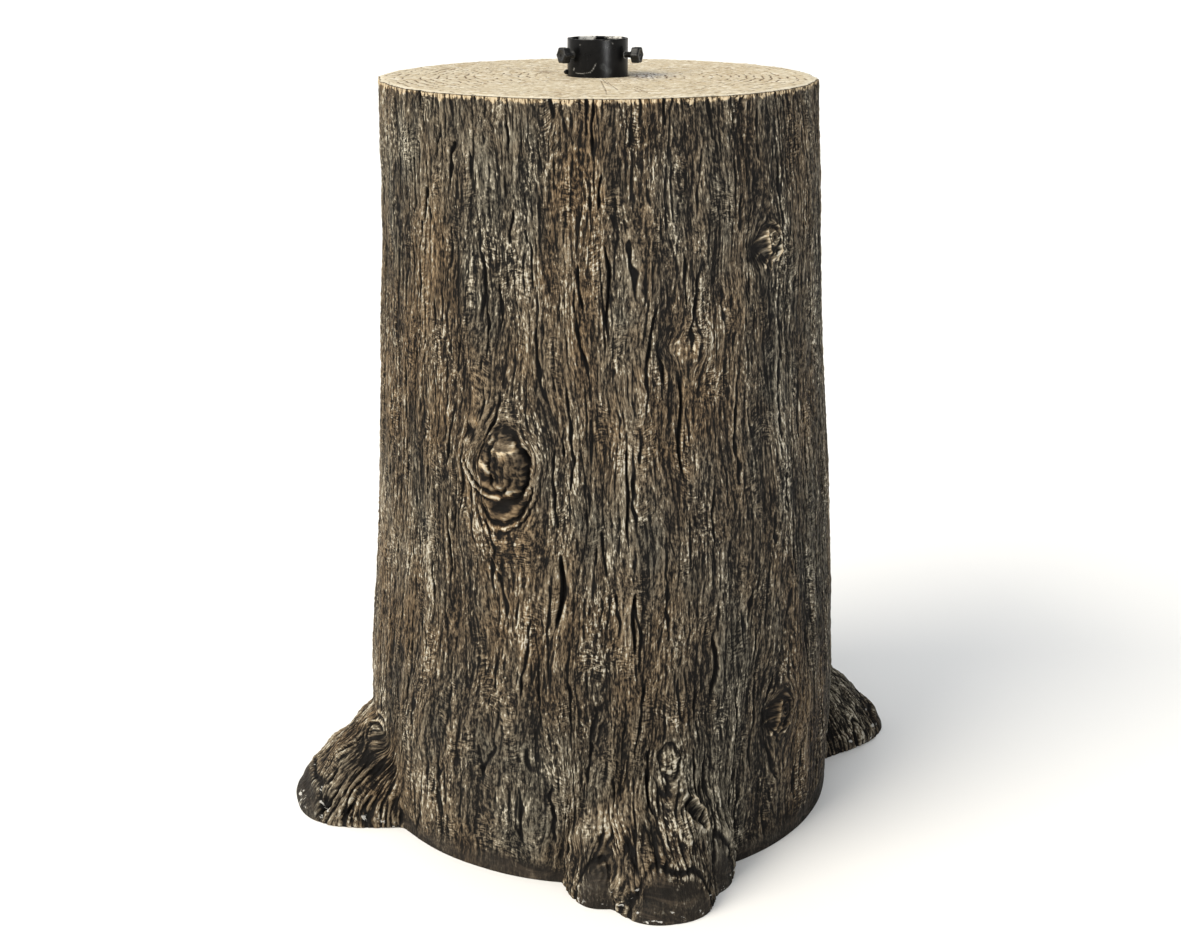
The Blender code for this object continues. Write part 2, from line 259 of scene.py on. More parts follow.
for az, kz, ka, kb, tilt, kind in KNOTS:
    th = (math.radians(az) - SEAM) % TAU + SEAM
    row = int(np.argmin(np.abs(rows_z - kz)))
    col = int(np.argmin(np.abs(theta[row] - th)))
    c = P[row, col]
    tu = du_vec[row, col] / np.linalg.norm(du_vec[row, col])
    n = N[row, col]
    tv = np.cross(n, tu)
    if tv[2] < 0:
        tv = -tv
    far = np.linalg.norm(P - c, axis=-1) > max(ka, kb) * 5
    d = P - c
    x0 = d @ tu
    y0 = d @ tv
    ct, st = math.cos(tilt), math.sin(tilt)
    x = (x0 * ct + y0 * st)
    y = (-x0 * st + y0 * ct)
    ang = np.arctan2(y, x)
    wob = 1 + 0.05 * np.sin(ang * 3 + az) + 0.04 * np.sin(ang * 5 + 2 * az) + 0.008 * np.sin(ang * 11 + 3 * az)
    rho = np.sqrt((x / ka) ** 2 + (y / kb) ** 2) / wob
    rho = np.where(far, 99.0, rho)
    # the grain runs round the knot
    push = np.where(rho > 1.0, x / np.maximum(rho, 1.0) ** 2, x) * smoothstep(5.0, 3.0, rho)
    U = U - push * (0.90 if kind in ("branch", "eye") else 0.6)
    inside = smoothstep(1.15, 0.85, rho)
    swirl = np.sin(TAU * (rho * 2.3 + 0.16 * np.sin(ang * 2 + 1.0) + 0.08 * np.sin(ang * 7)))
    ragged = 0.5 + 0.5 * np.sin(ang * 9 + az) * np.sin(ang * 4.0 + 1.3)
    if kind == "branch":
        k_ = ka / 0.0225
        xs, ys = x / k_, y / (kb / 0.0370)
        xs = xs + 0.0005 * np.sin(ys * 420 + az) + 0.0004 * np.sin(ys * 1100)
        ys = ys + 0.0006 * np.sin(xs * 500 + 1.0)
        # the sawn stub: its body rises to a lip, the cut face falls back above it
        xc = xs - 0.0030 + 0.0020 * smoothstep(0.010, 0.030, ys)
        wide_ = 0.0150 - 0.0048 * smoothstep(0.010, 0.030, ys) - 0.0020 * smoothstep(-0.004, -0.018, ys)
        q = (np.abs(xc / wide_) ** 2.5 + np.abs((ys - 0.0085) / 0.0270) ** 2.5) ** 0.4
        q = np.where(far, 99.0, q)
        body = smoothstep(1.08, 0.84, q)
        yy = ys - (0.0190 + 0.06 * xs + 0.30 * np.maximum(xs - 0.005, 0) + 0.0005 * np.sin(xs * 1300))
        prof = np.where(yy < 0, 0.0088 + yy * 0.16, 0.0088 - yy * 0.42)
        knot_h += k_ * body * np.maximum(prof, 0.0002) * (1 - 0.25 * (xc / wide_) ** 2)
        right = smoothstep(-0.1, 0.6, xc / wide_) * smoothstep(0.026, 0.016, ys)
        low_right = smoothstep(-0.0070, 0.0040, xs) * smoothstep(0.000, -0.012, ys)
        left_low = smoothstep(-0.2, -0.8, xc / wide_) * smoothstep(0.012, 0.004, ys) * smoothstep(-0.016, -0.008, ys)
        nibble = 0.70 + 0.30 * np.sin(ang * 7 + 2.0) * np.sin(ang * 3)
        moat = np.exp(-((q - 1.16) / 0.085) ** 2) * np.maximum(right, low_right) * nibble
        moat = moat + 0.8 * np.exp(-(((xs - 0.0170) / 0.0045) ** 2 + ((ys - 0.0160) / 0.0070) ** 2))
        slit = np.exp(-((q - 1.13) / 0.050) ** 2) * left_low
        # a shallow dip under the stub's body; its darkening below is painted shadow
        bowl_and_shadow = np.exp(-(((xs + 0.0045) / 0.0110) ** 2 + ((ys + 0.0285 - 0.15 * xs) / 0.0034) ** 2))
        e2 = np.sqrt((xs / 0.0260) ** 2 + ((ys - 0.20 * xs + 0.0020) / 0.0400) ** 2)
        under = smoothstep(-0.004, -0.016, ys) * (e2 < 3)
        arc1 = np.exp(-((e2 - 1.00) / 0.040) ** 2) * under * smoothstep(-0.024, -0.014, xs) * nibble
        arc2 = np.exp(-((e2 - 1.17) / 0.028) ** 2) * under * smoothstep(-0.004, 0.004, xs)
        swell = np.exp(-((e2 - 0.84) / 0.10) ** 2) * under + 0.8 * np.exp(-((e2 - 1.09) / 0.05) ** 2) * under
        knot_h += 0.0020 * swell + 0.0012 * np.exp(-((q - 1.40) / 0.14) ** 2) * (1 - under)
        knot_h -= k_ * (0.0056 * moat + 0.0028 * slit + 0.0022 * bowl_and_shadow + 0.0032 * arc1 + 0.0018 * arc2)
        fib = np.sin((xc + 0.0010 * np.sin(ys * 150) + 0.0005 * np.sin(ys * 430)) / 0.0026 * TAU)
        fib2 = np.sin((xc + 0.0008 * np.sin(ys * 210 + 2.0)) / 0.0061 * TAU + 1.0)
        below = body * smoothstep(0.0, -0.003, yy)
        knot_h += below * (0.00045 * fib + 0.00065 * fib2)
        face = body * smoothstep(0.0, 0.0010, yy)
        rr = np.sqrt((xs / 0.0100) ** 2 + ((yy - 0.0075) / 0.0075) ** 2)
        knot_h += face * 0.00028 * np.sin(TAU * rr * 2.6 + 1.5 * ragged)
        # paint: the worn lip, the edges of the slits, the tan patch underneath
        knot_cream += 0.85 * body * np.exp(-((yy + 0.0006) / 0.0010) ** 2) * (0.30 + 0.70 * ragged) * smoothstep(0.95, 0.65, np.abs(xc / wide_))
        knot_cream += 0.60 * np.exp(-(((xs + 0.0095) / 0.0024) ** 2 + ((ys - 0.0185) / 0.0022) ** 2))
        knot_cream += 0.45 * np.exp(-(((xs - 0.0010) / 0.0045) ** 2 + ((yy + 0.0040) / 0.0030) ** 2)) * body
        knot_cream += 0.60 * np.exp(-(((xs - 0.0095) / 0.0018) ** 2 + ((ys - 0.0260) / 0.0060) ** 2))
        knot_cream += 0.55 * np.exp(-((q - 1.24) / 0.050) ** 2) * left_low * (0.3 + 0.7 * ragged)
        knot_cream += 0.75 * np.exp(-(((xs - 0.0060) / 0.0060) ** 2 + ((ys + 0.0160 - 0.55 * (xs - 0.006)) / 0.0016) ** 2))
        knot_cream += 0.24 * np.exp(-((e2 - 1.09) / 0.045) ** 2) * under * smoothstep(-0.010, 0.006, xs)
        knot_cream += 0.60 * np.exp(-((np.abs(xs + 0.0120) / 0.0130) ** 4 + (np.abs(ys + 0.0470) / 0.0045) ** 4)) * (0.4 + 0.6 * np.sin(xs * 1700) ** 2)
        # the bowl term here is painted shadow under the stub's body
        knot_dark += 0.80 * moat + 0.70 * slit + 0.38 * bowl_and_shadow + 0.80 * arc1 + 0.60 * arc2
        knot_dark += 0.42 * below * smoothstep(-0.004, -0.009, yy) * (0.35 + 0.65 * smoothstep(-0.010, 0.006, xs)) * (0.6 - 0.4 * fib2)
        knot_dark += 0.35 * np.exp(-((q - 1.04) / 0.025) ** 2) * smoothstep(0.028, 0.033, ys)
        knot_calm = np.maximum(knot_calm, 0.70 * body)
        knot_calm = np.maximum(knot_calm, 0.85 * face)
    elif kind == "eye":
        k_ = ka / 0.0125
        xs, ys = x / k_, y / k_
        xs = xs + 0.0006 * np.sin(ys * 600 + az) + 0.0003 * np.sin(ys * 1700)
        live = (rho < 4)
        hole = np.exp(-((np.abs(xs + 0.0150) / 0.0090) ** 2.6 + (np.abs(ys + 0.0030) / 0.0125) ** 2.6)) * live
        vein = np.exp(-((ys - 0.0045 - 0.25 * (xs + 0.010)) / 0.0010) ** 2) + np.exp(-((ys + 0.0068 - 0.45 * (xs + 0.010)) / 0.0008) ** 2)
        vein = vein * smoothstep(-0.022, -0.014, xs) * smoothstep(-0.002, -0.005, xs) * live
        bar = np.exp(-((xs + 0.0030) / 0.0017) ** 2) * smoothstep(0.0125, 0.0095, ys) * smoothstep(-0.0110, -0.0080, ys) * live
        e = np.where(live, np.sqrt(((xs - 0.0010) / 0.0120) ** 2 + ((ys + 0.0010) / 0.0150) ** 2), 9.0)
        side = smoothstep(-0.002, 0.004, xs)
        outer = np.exp(-((e - 1.0) / 0.085) ** 2) * side
        r1 = np.where(live, np.sqrt((xs - 0.0048) ** 2 + (0.8 * ys) ** 2), 9.0)
        ring1 = np.exp(-((r1 - 0.0046) / 0.0008) ** 2)
        ring2 = np.exp(-((r1 - 0.0024) / 0.0007) ** 2)
        stroke = np.zeros_like(xs)
        for x_a, y_a, x_b, y_b in ((-0.0030, -0.0095, -0.0105, -0.0195), (0.0020, -0.0120, -0.0060, -0.0225), (0.0090, -0.0125, 0.0050, -0.0190)):
            ex, ey = x_b - x_a, y_b - y_a
            t_ = np.clip(((xs - x_a) * ex + (ys - y_a) * ey) / (ex * ex + ey * ey), 0, 1)
            stroke = np.maximum(stroke, np.exp(-(np.hypot(xs - x_a - t_ * ex, ys - y_a - t_ * ey) / 0.0013) ** 2))
        stroke = stroke * live
        gap_ = np.exp(-((e - 0.80) / 0.075) ** 2) * side
        knot_h += k_ * (0.0024 * bar + 0.0020 * outer + 0.0014 * ring1 + 0.0012 * ring2 + 0.0014 * stroke + 0.0012 * vein)
        knot_h -= k_ * (0.0056 * hole + 0.0012 * gap_ + 0.0014 * np.exp(-(r1 / 0.0012) ** 2))
        knot_cream += 0.66 * bar * (0.55 + 0.45 * ragged) + 0.44 * outer * (0.5 + 0.5 * ragged) + 0.40 * ring1 + 0.34 * ring2
        knot_cream += 0.50 * stroke + 0.42 * vein
        knot_dark += 0.80 * hole * (1 - 0.6 * vein) + 0.55 * gap_ + 0.5 * np.exp(-((r1 - 0.0035) / 0.0006) ** 2) + 0.5 * np.exp(-(r1 / 0.0012) ** 2)
        knot_calm = np.maximum(knot_calm, 0.65 * smoothstep(1.3, 0.9, e) + 0.5 * hole)
    elif kind == "hollow":
        knot_h += np.exp(-((rho - 1.05) / 0.22) ** 2) * 0.0028
        knot_h -= np.exp(-(rho / 0.60) ** 2) * 0.0080
        knot_cream += 0.45 * np.exp(-((rho - 1.08) / 0.12) ** 2) * smoothstep(-0.4, 0.5, np.cos(ang + 0.4))
        knot_dark += 0.9 * np.exp(-(rho / 0.5) ** 2)
        knot_calm = np.maximum(knot_calm, 0.5 * inside)
    elif kind == "stub":
        knot_h += smoothstep(1.0, 0.55, rho) * 0.0034 * (1 + 0.15 * swirl)
        knot_h -= np.exp(-((rho - 1.08) / 0.10) ** 2) * 0.0016
        slot_ = np.exp(-((x - 0.0012 - 0.0005 * np.sin(y * 500)) / 0.0007) ** 2) + 0.8 * np.exp(-((x + 0.0034) / 0.0006) ** 2)
        knot_h -= 0.0014 * slot_ * smoothstep(1.1, 0.8, rho)
        knot_cream += 0.20 * smoothstep(1.0, 0.5, rho) * (0.2 + 0.8 * ragged) * (1 - np.clip(slot_, 0, 1))
        # painted shade: the groove round the stub is darkened only on its lower side, under the stub
        knot_dark += 0.6 * np.exp(-((rho - 1.08) / 0.07) ** 2) * smoothstep(-0.45, -0.75, y / kb) + 0.5 * slot_ * smoothstep(1.1, 0.8, rho)
        knot_calm = np.maximum(knot_calm, 0.6 * inside)
    elif kind == "burl":
        arc = smoothstep(-0.35, 0.35, np.sin(ang - 0.35)) * smoothstep(1.9, 1.3, rho)
        curl = np.sin(TAU * (rho * 2.1 + 0.25 * np.sin(ang + 0.6)))
        knot_h += 0.0044 * np.exp(-(rho / 1.0) ** 2) + 0.0010 * curl * arc * smoothstep(0.3, 0.6, rho)
        dip = np.exp(-(((x - ka * 0.55) / (ka * 0.55)) ** 2 + ((y + kb * 0.40) / (kb * 0.50)) ** 2))
        knot_h -= 0.0050 * dip
        knot_cream += 0.50 * arc * smoothstep(0.35, 0.65, rho) * smoothstep(-0.1, 0.8, curl) * (0.4 + 0.6 * ragged)
        knot_dark += 0.55 * dip + 0.35 * arc * smoothstep(-0.2, -0.9, curl)
        knot_calm = np.maximum(knot_calm, 0.35 * inside)
    elif kind == "bump":
        knot_h += 0.0040 * np.exp(-(rho / 0.9) ** 2) + 0.0007 * np.sin(TAU * (x / 0.006 + 0.3 * np.sin(y * 300))) * smoothstep(1.2, 0.6, rho)
        knot_cream += 0.30 * np.exp(-(rho / 0.75) ** 2) * ragged
        knot_calm = np.maximum(knot_calm, 0.5 * inside)
    elif kind == "scar":
        knot_cream += 0.42 * np.exp(-(rho / 0.9) ** 2)
        knot_h += 0.0008 * np.exp(-(rho / 0.9) ** 2)

# ------------------------------------------------------------------ grooves drawn along the grain
TEX_W, TEX_H = 3072, 1500
V_LO, V_HI = -0.24, 0.66
PER_U, PER_V = TEX_W / ROUND, TEX_H / (V_HI - V_LO)


def grooves(seed, du, dv, length, width, wander, keep=1.0):
    """Tapered, wandering lines along the grain, 0..1 deep, as a fine grid."""
    rng = np.random.default_rng(seed)
    tex = np.zeros((TEX_H, TEX_W), F32)
    nu, nv = int(round(ROUND / du)), int(round((V_HI - V_LO) / dv))
    for a_ in range(nu):
        for b_ in range(nv):
            q = rng.random(8)
            tilt_ = rng.normal() * 0.06
            if q[0] > keep:
                continue
            u0 = (a_ + q[1]) * ROUND / nu
            v0 = V_LO + (b_ + q[2]) * (V_HI - V_LO) / nv
            half = 0.5 * length[0] * (length[1] / length[0]) ** q[3]
            w = 0.5 * (width[0] + (width[1] - width[0]) * q[4] ** 1.6)
            r0 = max(0, int((v0 - half - V_LO) * PER_V))
            r1 = min(TEX_H, int((v0 + half - V_LO) * PER_V) + 2)
            if r1 - r0 < 3:
                continue
            y = np.arange(r0, r1) / PER_V + V_LO - v0
            path_ = tilt_ * y + wander * (np.sin(y * 75 + q[5] * TAU) + 0.6 * np.sin(y * 170 + q[6] * TAU)
                                          + 0.35 * np.sin(y * 360 + q[7] * TAU))
            ww = w * np.sqrt(np.clip(1 - (y / half) ** 2, 0, 1)) * (0.80 + 0.35 * np.sin(y * 260 + q[6] * TAU))
            reach = w * 1.3 + wander * 2 + 0.06 * half
            cols = np.arange(int((u0 - reach) * PER_U) - 2, int((u0 + reach) * PER_U) + 3)
            x = cols[None, :] / PER_U - u0 - path_[:, None]
            val = (0.55 + 0.45 * q[5]) * np.clip(1 - (x / (ww[:, None] + 1e-5)) ** 2, 0, 1)
            idx = cols % TEX_W
            tex[r0:r1, idx] = np.maximum(tex[r0:r1, idx], val)
    return blur(tex, 0.9, 1.0)


def sampled(tex, u, v):
    x = (u / ROUND * TEX_W) % TEX_W
    y = np.clip((v - V_LO) * PER_V, 0, TEX_H - 1.01)
    x0, y0 = np.floor(x).astype(np.int32), np.floor(y).astype(np.int32)
    fx, fy = (x - x0).astype(F32), (y - y0).astype(F32)
    x0 %= TEX_W
    x1 = (x0 + 1) % TEX_W
    top = tex[y0, x0] * (1 - fx) + tex[y0, x1] * fx
    low = tex[y0 + 1, x0] * (1 - fx) + tex[y0 + 1, x1] * fx
    return top * (1 - fy) + low * fy


# ------------------------------------------------------------------ bark relief
U = U.astype(F32)
V = V.astype(F32)
warp1 = grain(U, V, 0.075, 0.170, 11)
warp2 = grain(U, V, 0.020, 0.060, 12)
warp3 = grain(U, V, 0.006, 0.018, 13)
Uw = U + 0.0060 * warp1 + 0.0022 * warp2 + 0.0006 * warp3
Vw = V + 0.010 * grain(U, V, 0.03, 0.05, 14)

big = grain(Uw, Vw, 0.080, 0.30, 21)
flute = grain(Uw, Vw, 0.030, 0.20, 22)
flute2 = grain(Uw, Vw, 0.014, 0.110, 23)

f1, f2, pv = grain(Uw, Vw, 0.0135, 0.085, 31, "cells")
plate = (pv - 0.5) * smoothstep(0.0, 0.35, f2 - f1)

main = sampled(grooves(301, 0.0270, 0.075, (0.022, 0.100), (0.0024, 0.0052), 0.0010), Uw, Vw)
mid = sampled(grooves(302, 0.0092, 0.034, (0.010, 0.052), (0.0014, 0.0028), 0.0006), Uw, Vw)
tiny = sampled(grooves(303, 0.0044, 0.013, (0.004, 0.020), (0.0011, 0.0018), 0.0003, 0.85), Uw, Vw)
gate = smoothstep(-0.7, 0.2, grain(Uw, Vw, 0.040, 0.090, 32))
main = main * (0.45 + 0.55 * gate)

strand = 1 - 2 * np.abs(grain(Uw, Vw, 0.0066, 0.060, 41))
fibre = 1 - 2 * np.abs(grain(Uw, Vw, 0.0038, 0.022, 42))
fine_f = grain(Uw, Vw, 0.0026, 0.0085, 43)
grit = grain(U, V, 0.0024, 0.0034, 44)
wr_gate = smoothstep(0.10, 0.50, grain(U, V, 0.018, 0.045, 45) + 0.15 * (pv - 0.4))
wrinkle = grain(U, V, 0.009, 0.0026, 46) * wr_gate

h = (1.5e-3 * big + 2.1e-3 * flute + 1.3e-3 * flute2 + 0.9e-3 * plate
     - 4.2e-3 * main - 1.9e-3 * mid - 0.85e-3 * tiny
     + 0.60e-3 * strand + 0.45e-3 * fibre + 0.42e-3 * fine_f
     + 0.30e-3 * grit + 0.34e-3 * wrinkle)

# a few long deep splits where the grain opens
SPLITS = ((-102.1, 0.262, 0.0026, 0.034, 0.0075), (-138.0, 0.560, 0.0020, 0.016, 0.005),
          (-88.0, 0.505, 0.0014, 0.040, 0.005), (-72.0, 0.395, 0.0016, 0.050, 0.006),
          (-84.5, 0.345, 0.0016, 0.045, 0.005), (-30.0, 0.350, 0.0014, 0.050, 0.004),
          (-84.0, 0.235, 0.0016, 0.030, 0.005), (-64.0, 0.190, 0.0018, 0.030, 0.005),
          (-128.0, 0.290, 0.0014, 0.040, 0.004), (170.0, 0.400, 0.0018, 0.060, 0.005),
          (30.0, 0.300, 0.0020, 0.050, 0.005), (75.0, 0.520, 0.0018, 0.050, 0.005),
          (120.0, 0.330, 0.0020, 0.060, 0.005))
split = np.zeros_like(h)
for az, sz, sw, sl, sd in SPLITS:
    th = (math.radians(az) - SEAM) % TAU
    x = (Uw - F32(th / TAU * ROUND) + 0.0015 * np.sin(V * 95 + az))
    x = (x + ROUND / 2) % ROUND - ROUND / 2
    y = V - sz
    k = np.exp(-(x / (sw * (1 - 0.6 * np.clip(np.abs(y / sl), 0, 1)))) ** 2) * smoothstep(1.0, 0.6, np.abs(y / sl))
    split = np.maximum(split, k * sd / 0.0075)
h -= 0.0075 * split
main = np.maximum(main, split)

# the faint inverted-U ridge high on the front, with pale cross-hatching under it
c_th, c_z = math.radians(-96.3), 0.583
x = (theta - ((c_th - SEAM) % TAU + SEAM)) * 0.187 + 0.003 * warp2
y = z_grid - c_z + 0.002 * warp3
arch = np.sqrt((x / 0.023) ** 2 + (np.maximum(y, 0) / 0.027) ** 2)
arch_ridge = np.exp(-((arch - 1.0) / 0.08) ** 2) * smoothstep(-0.030, -0.005, y)
arch_in = smoothstep(1.0, 0.8, arch) * smoothstep(-0.045, -0.015, y)
h = h + 0.0011 * arch_ridge * smoothstep(-0.5, 0.5, fine_f + 0.4) + arch_in * (0.0006 * grain(U, V, 0.005, 0.004, 51))

# calmer near knots, on cut ends and along the foot
foot_line = 0.0125 + 0.0065 * grain(U, V * 0, 0.035, 0.05, 63) + 0.0035 * grain(U, V * 0, 0.009, 0.05, 67) + 0.003 * flute2
foot = smoothstep(foot_line + 0.010, foot_line - 0.006, z_grid) * (1 - smoothstep(0.15, 0.6, on_root))
endness = smoothstep(0.36, 0.62, at_end + 0.16 * warp2 + 0.05 * grain(U, V, 0.006, 0.010, 68)) * smoothstep(0.3, 0.9, on_root)
calm = 1 - np.maximum.reduce([0.85 * knot_calm, 0.90 * foot, 0.88 * endness])
root_boost = 1 + 0.30 * smoothstep(0.1, 0.7, on_root) * (1 - endness)
relief = h * calm * root_boost
# long torn strands on the roots
on_strand = smoothstep(0.15, 0.8, on_root) * (1 - endness)
strands = grain(Uw, Vw, 0.0115, 0.090, 61)
strands2 = grain(Uw, Vw, 0.0060, 0.050, 64)
some = smoothstep(-0.55, 0.25, grain(Uw, Vw, 0.030, 0.050, 66))
relief = relief + (-0.0032 * smoothstep(0.16, 0.0, np.abs(strands)) * some - 0.0013 * smoothstep(0.20, 0.0, np.abs(strands2))
                   + 0.0010 * (1 - np.abs(strands) * 1.4)) * on_strand
root_crack = (0.75 * smoothstep(0.07, 0.0, np.abs(strands)) * some + 0.25 * smoothstep(0.08, 0.0, np.abs(strands2))) * on_strand
lump = grain(U, V, 0.030, 0.024, 62)
lump2 = grain(U, V, 0.008, 0.008, 65)
knuckle = grain(U, V, 0.048, 0.034, 67)
on_root_soft = smoothstep(0.1, 0.9, on_root)
relief = relief + (0.0014 * lump + 0.0005 * lump2) * np.maximum(foot, endness)
relief = relief + on_root_soft * smoothstep(0.0, 0.02, z_grid) * (0.0042 * knuckle + 0.0016 * lump)
# a ledge where the torn strands stop short of the cut end
ledge = np.exp(-((at_end + 0.10 * warp2 - 0.40) / 0.035) ** 2) * on_root_soft
relief = relief - 0.0022 * ledge
root_crack = np.maximum(root_crack, 0.75 * ledge * smoothstep(-0.3, 0.3, lump))
relief = relief + knot_h
relief -= np.percentile(relief[:450], 78)

# local crest and hollow signals for the paint
r32 = relief.astype(F32)
local = r32 - blur(r32, 2.6, 4.0)
flat32 = (relief - 0.85 * knot_h).astype(F32)
wide = flat32 - blur(flat32, 12.0, 18.0)
crest = np.clip(0.5 + local / (2.4 * 0.00075), 0, 1)
soft = 0.75 * np.clip(knot_calm, 0, 1)
crest = crest * (1 - soft) + soft * np.clip(0.48 + local / 0.0060, 0.2, 0.9)
depth = np.clip(-wide / 0.0036, 0, 1)
ridge_up = np.clip(0.5 + wide / 0.0050, 0, 1)

# the relief drops to 30 % at the very foot; heights stay between the floor and just under the rim
fade = smoothstep(0.0, 0.006, z_grid) * 0.7 + 0.3
P_out = P + N * (relief * fade)[..., None]
P_out[..., 2] = np.minimum(P_out[..., 2], HEIGHT - 0.0012)
P_out[..., 2] = np.maximum(P_out[..., 2], 0.0)
P_out[-1, :, 2] = 0.0
P_out[0, :, 2] = rows_z[0]
low_fix = smoothstep(0.008, 0.0, z_grid)
P_out[..., 2] = P_out[..., 2] * (1 - low_fix) + z_grid * low_fix

# ------------------------------------------------------------------ cut top
NT = 250
rim_xy = P_out[0, :, :2]
rim_r = np.hypot(rim_xy[:, 0], rim_xy[:, 1])
rim_th = np.arctan2(rim_xy[:, 1], rim_xy[:, 0])
t = np.linspace(0, 1, NT)[:, None]
r_top = HOLE_R + (rim_r[None, :] - 0.0008 - HOLE_R) * t
th_top = np.repeat(rim_th[None, :], NT, 0)
TX, TY = r_top * np.cos(th_top), r_top * np.sin(th_top)


def plane_noise(x, y, s, seed):
    return perlin((x / s + 200.0), (y / s + 200.0), 512, seed)


wob = 0.0045 * plane_noise(TX, TY, 0.070, 71) + 0.0012 * plane_noise(TX, TY, 0.022, 72)
ring_r = np.hypot(TX - 0.010, TY + 0.006) + wob
ring_i = ring_r / 0.0073
ring_w = 0.5 + 0.5 * plane_noise(ring_r * 6.0, ring_r * 0.0 + 0.3, 0.004, 73)
ring_line = np.exp(-(((ring_i % 1.0) - 0.5 + 0.06 * np.sin(th_top * 37)) / 0.100) ** 2)
ring_wide = np.exp(-(((ring_i % 1.0) - 0.58) / 0.26) ** 2)
broken = smoothstep(-0.12, 0.14, perlin(ring_i * 0.9, th_top * ring_i * 0.62 + 40.0 * np.floor(ring_i), 512, 74)
                    + 0.45 * plane_noise(TX, TY, 0.05, 75))
pits = smoothstep(0.15, 0.6, plane_noise(TX, TY, 0.0034, 76))
ring_cut = ring_line * broken * (0.45 + 0.55 * pits)
spokes = np.zeros_like(TX)
rng = np.random.default_rng(77)
for k in range(26):
    a0 = rng.random() * TAU
    r0 = 0.05 + 0.10 * rng.random()
    ln = 0.015 + 0.035 * rng.random()
    dth = (th_top - a0 + 0.15 * (r_top - r0) + math.pi) % TAU - math.pi
    spokes = np.maximum(spokes, np.exp(-(dth * r_top / 0.0006) ** 2) * smoothstep(ln, ln * 0.5, np.abs(r_top - r0)))
spokes = spokes * (0.25 + 0.55 * pits)
top_lump = plane_noise(TX, TY, 0.035, 78)
top_h = (-0.00085 * ring_cut - 0.0011 * spokes + 0.0003 * plane_noise(TX, TY, 0.005, 79)
         + 0.0003 * top_lump)
# raised pale filler by the right-hand screw
fill = np.exp(-(((TX - 0.043) / 0.017) ** 2 + ((TY + 0.002) / 0.026) ** 2))
fill = fill * smoothstep(-0.4, 0.3, plane_noise(TX, TY, 0.006, 80) + fill)
top_h = top_h + 0.0008 * fill * (0.5 + 0.5 * plane_noise(TX, TY, 0.004, 81))
near_rim = smoothstep(0.012, 0.0, rim_r[None, :] - r_top)
flat = smoothstep(0.0, 0.004, r_top - HOLE_R) * smoothstep(0.0, 0.0012, rim_r[None, :] - 0.0008 - r_top)
TZ = HEIGHT - 0.0003 + top_h * flat - 0.0010 * near_rim ** 4
TZ = np.minimum(TZ, HEIGHT)
P_top = np.stack([TX, TY, TZ], -1)

# ------------------------------------------------------------------ inside
inner_z = np.array([0.0, 0.004, 0.03, 0.08, 0.13, 0.20, 0.28, 0.36, 0.44, 0.52, 0.58, HEIGHT - TOP_WALL - 0.012])
ri = trunk_radius(inner_z) - WALL
in_rows = []
for k in range(3):                   # the lip, from the outside edge inwards
    w = (k + 1) / 4.0
    ring = P_out[-1, :, :2] * (1 - w)
    inn = np.stack([ri[0] * np.cos(theta[-1]) + lean(0.0), ri[0] * np.sin(theta[-1])], -1) * w
    in_rows.append(np.concatenate([ring + inn, np.zeros((NU, 1))], 1))
for zz, rr_ in zip(inner_z, ri):
    k = smoothstep(0.24, 0.05, zz)
    th = theta_top * (1 - k) + theta_low * k
    bumps = 0.0006 * np.sin(th * 23 + zz * 60)
    in_rows.append(np.stack([(rr_ + bumps) * np.cos(th) + lean(zz), (rr_ + bumps) * np.sin(th), np.full(NU, zz)], -1))
for rr_, zz in ((ri[-1] - 0.004, HEIGHT - TOP_WALL - 0.003), (ri[-1] - 0.012, HEIGHT - TOP_WALL),
                (0.12, HEIGHT - TOP_WALL), (0.07, HEIGHT - TOP_WALL), (HOLE_R + 0.0004, HEIGHT - TOP_WALL),
                (HOLE_R, HEIGHT - TOP_WALL + 0.0004), (HOLE_R, HEIGHT - 0.0060)):
    in_rows.append(np.stack([rr_ * np.cos(theta_top), rr_ * np.sin(theta_top), np.full(NU, zz)], -1))
P_in = np.stack(in_rows, 0)

ALL = np.concatenate([P_top, P_out, P_in], 0)
NR = ALL.shape[0]
R_TOP, R_OUT = NT, NT + NR_OUT


def full(top, out, inn):
    a = np.zeros((NR, NU), F32)
    a[:R_TOP] = top
    a[R_TOP:R_OUT] = out
    a[R_OUT:] = inn
    return a


# faces: the last row closes back onto the first
i = np.arange(NR)[:, None]
j = np.arange(NU)[None, :]
a = i * NU + j
b = i * NU + (j + 1) % NU
c = ((i + 1) % NR) * NU + (j + 1) % NU
d = ((i + 1) % NR) * NU + j
quads = np.stack([a + 0 * b, d + 0 * a, c + 0 * a, b + 0 * a], -1).reshape(-1, 4)
nf = len(quads)
mesh = bpy.data.meshes.new("bark_stump")
mesh.vertices.add(NR * NU)
mesh.vertices.foreach_set("co", ALL.reshape(-1).astype(F32))
mesh.loops.add(nf * 4)
mesh.loops.foreach_set("vertex_index", quads.reshape(-1).astype(np.int32))
mesh.polygons.add(nf)
mesh.polygons.foreach_set("loop_start", np.arange(0, nf * 4, 4, dtype=np.int32))
mesh.polygons.foreach_set("loop_total", np.full(nf, 4, np.int32))
row_of_face = np.repeat(np.arange(NR), NU)
slot = np.where(row_of_face < R_TOP - 1, 1, np.where(row_of_face < R_OUT - 1, 0, 2)).astype(np.int32)
mesh.polygons.foreach_set("material_index", slot)
mesh.update(calc_edges=True)
mesh.polygons.foreach_set("use_smooth", np.ones(nf, dtype=bool))


def attribute(name, values, kind='FLOAT'):
    at = mesh.attributes.new(name, kind, 'POINT')
    key = "value" if kind == 'FLOAT' else "vector"
    at.data.foreach_set(key, np.ascontiguousarray(values, dtype=F32).reshape(-1))


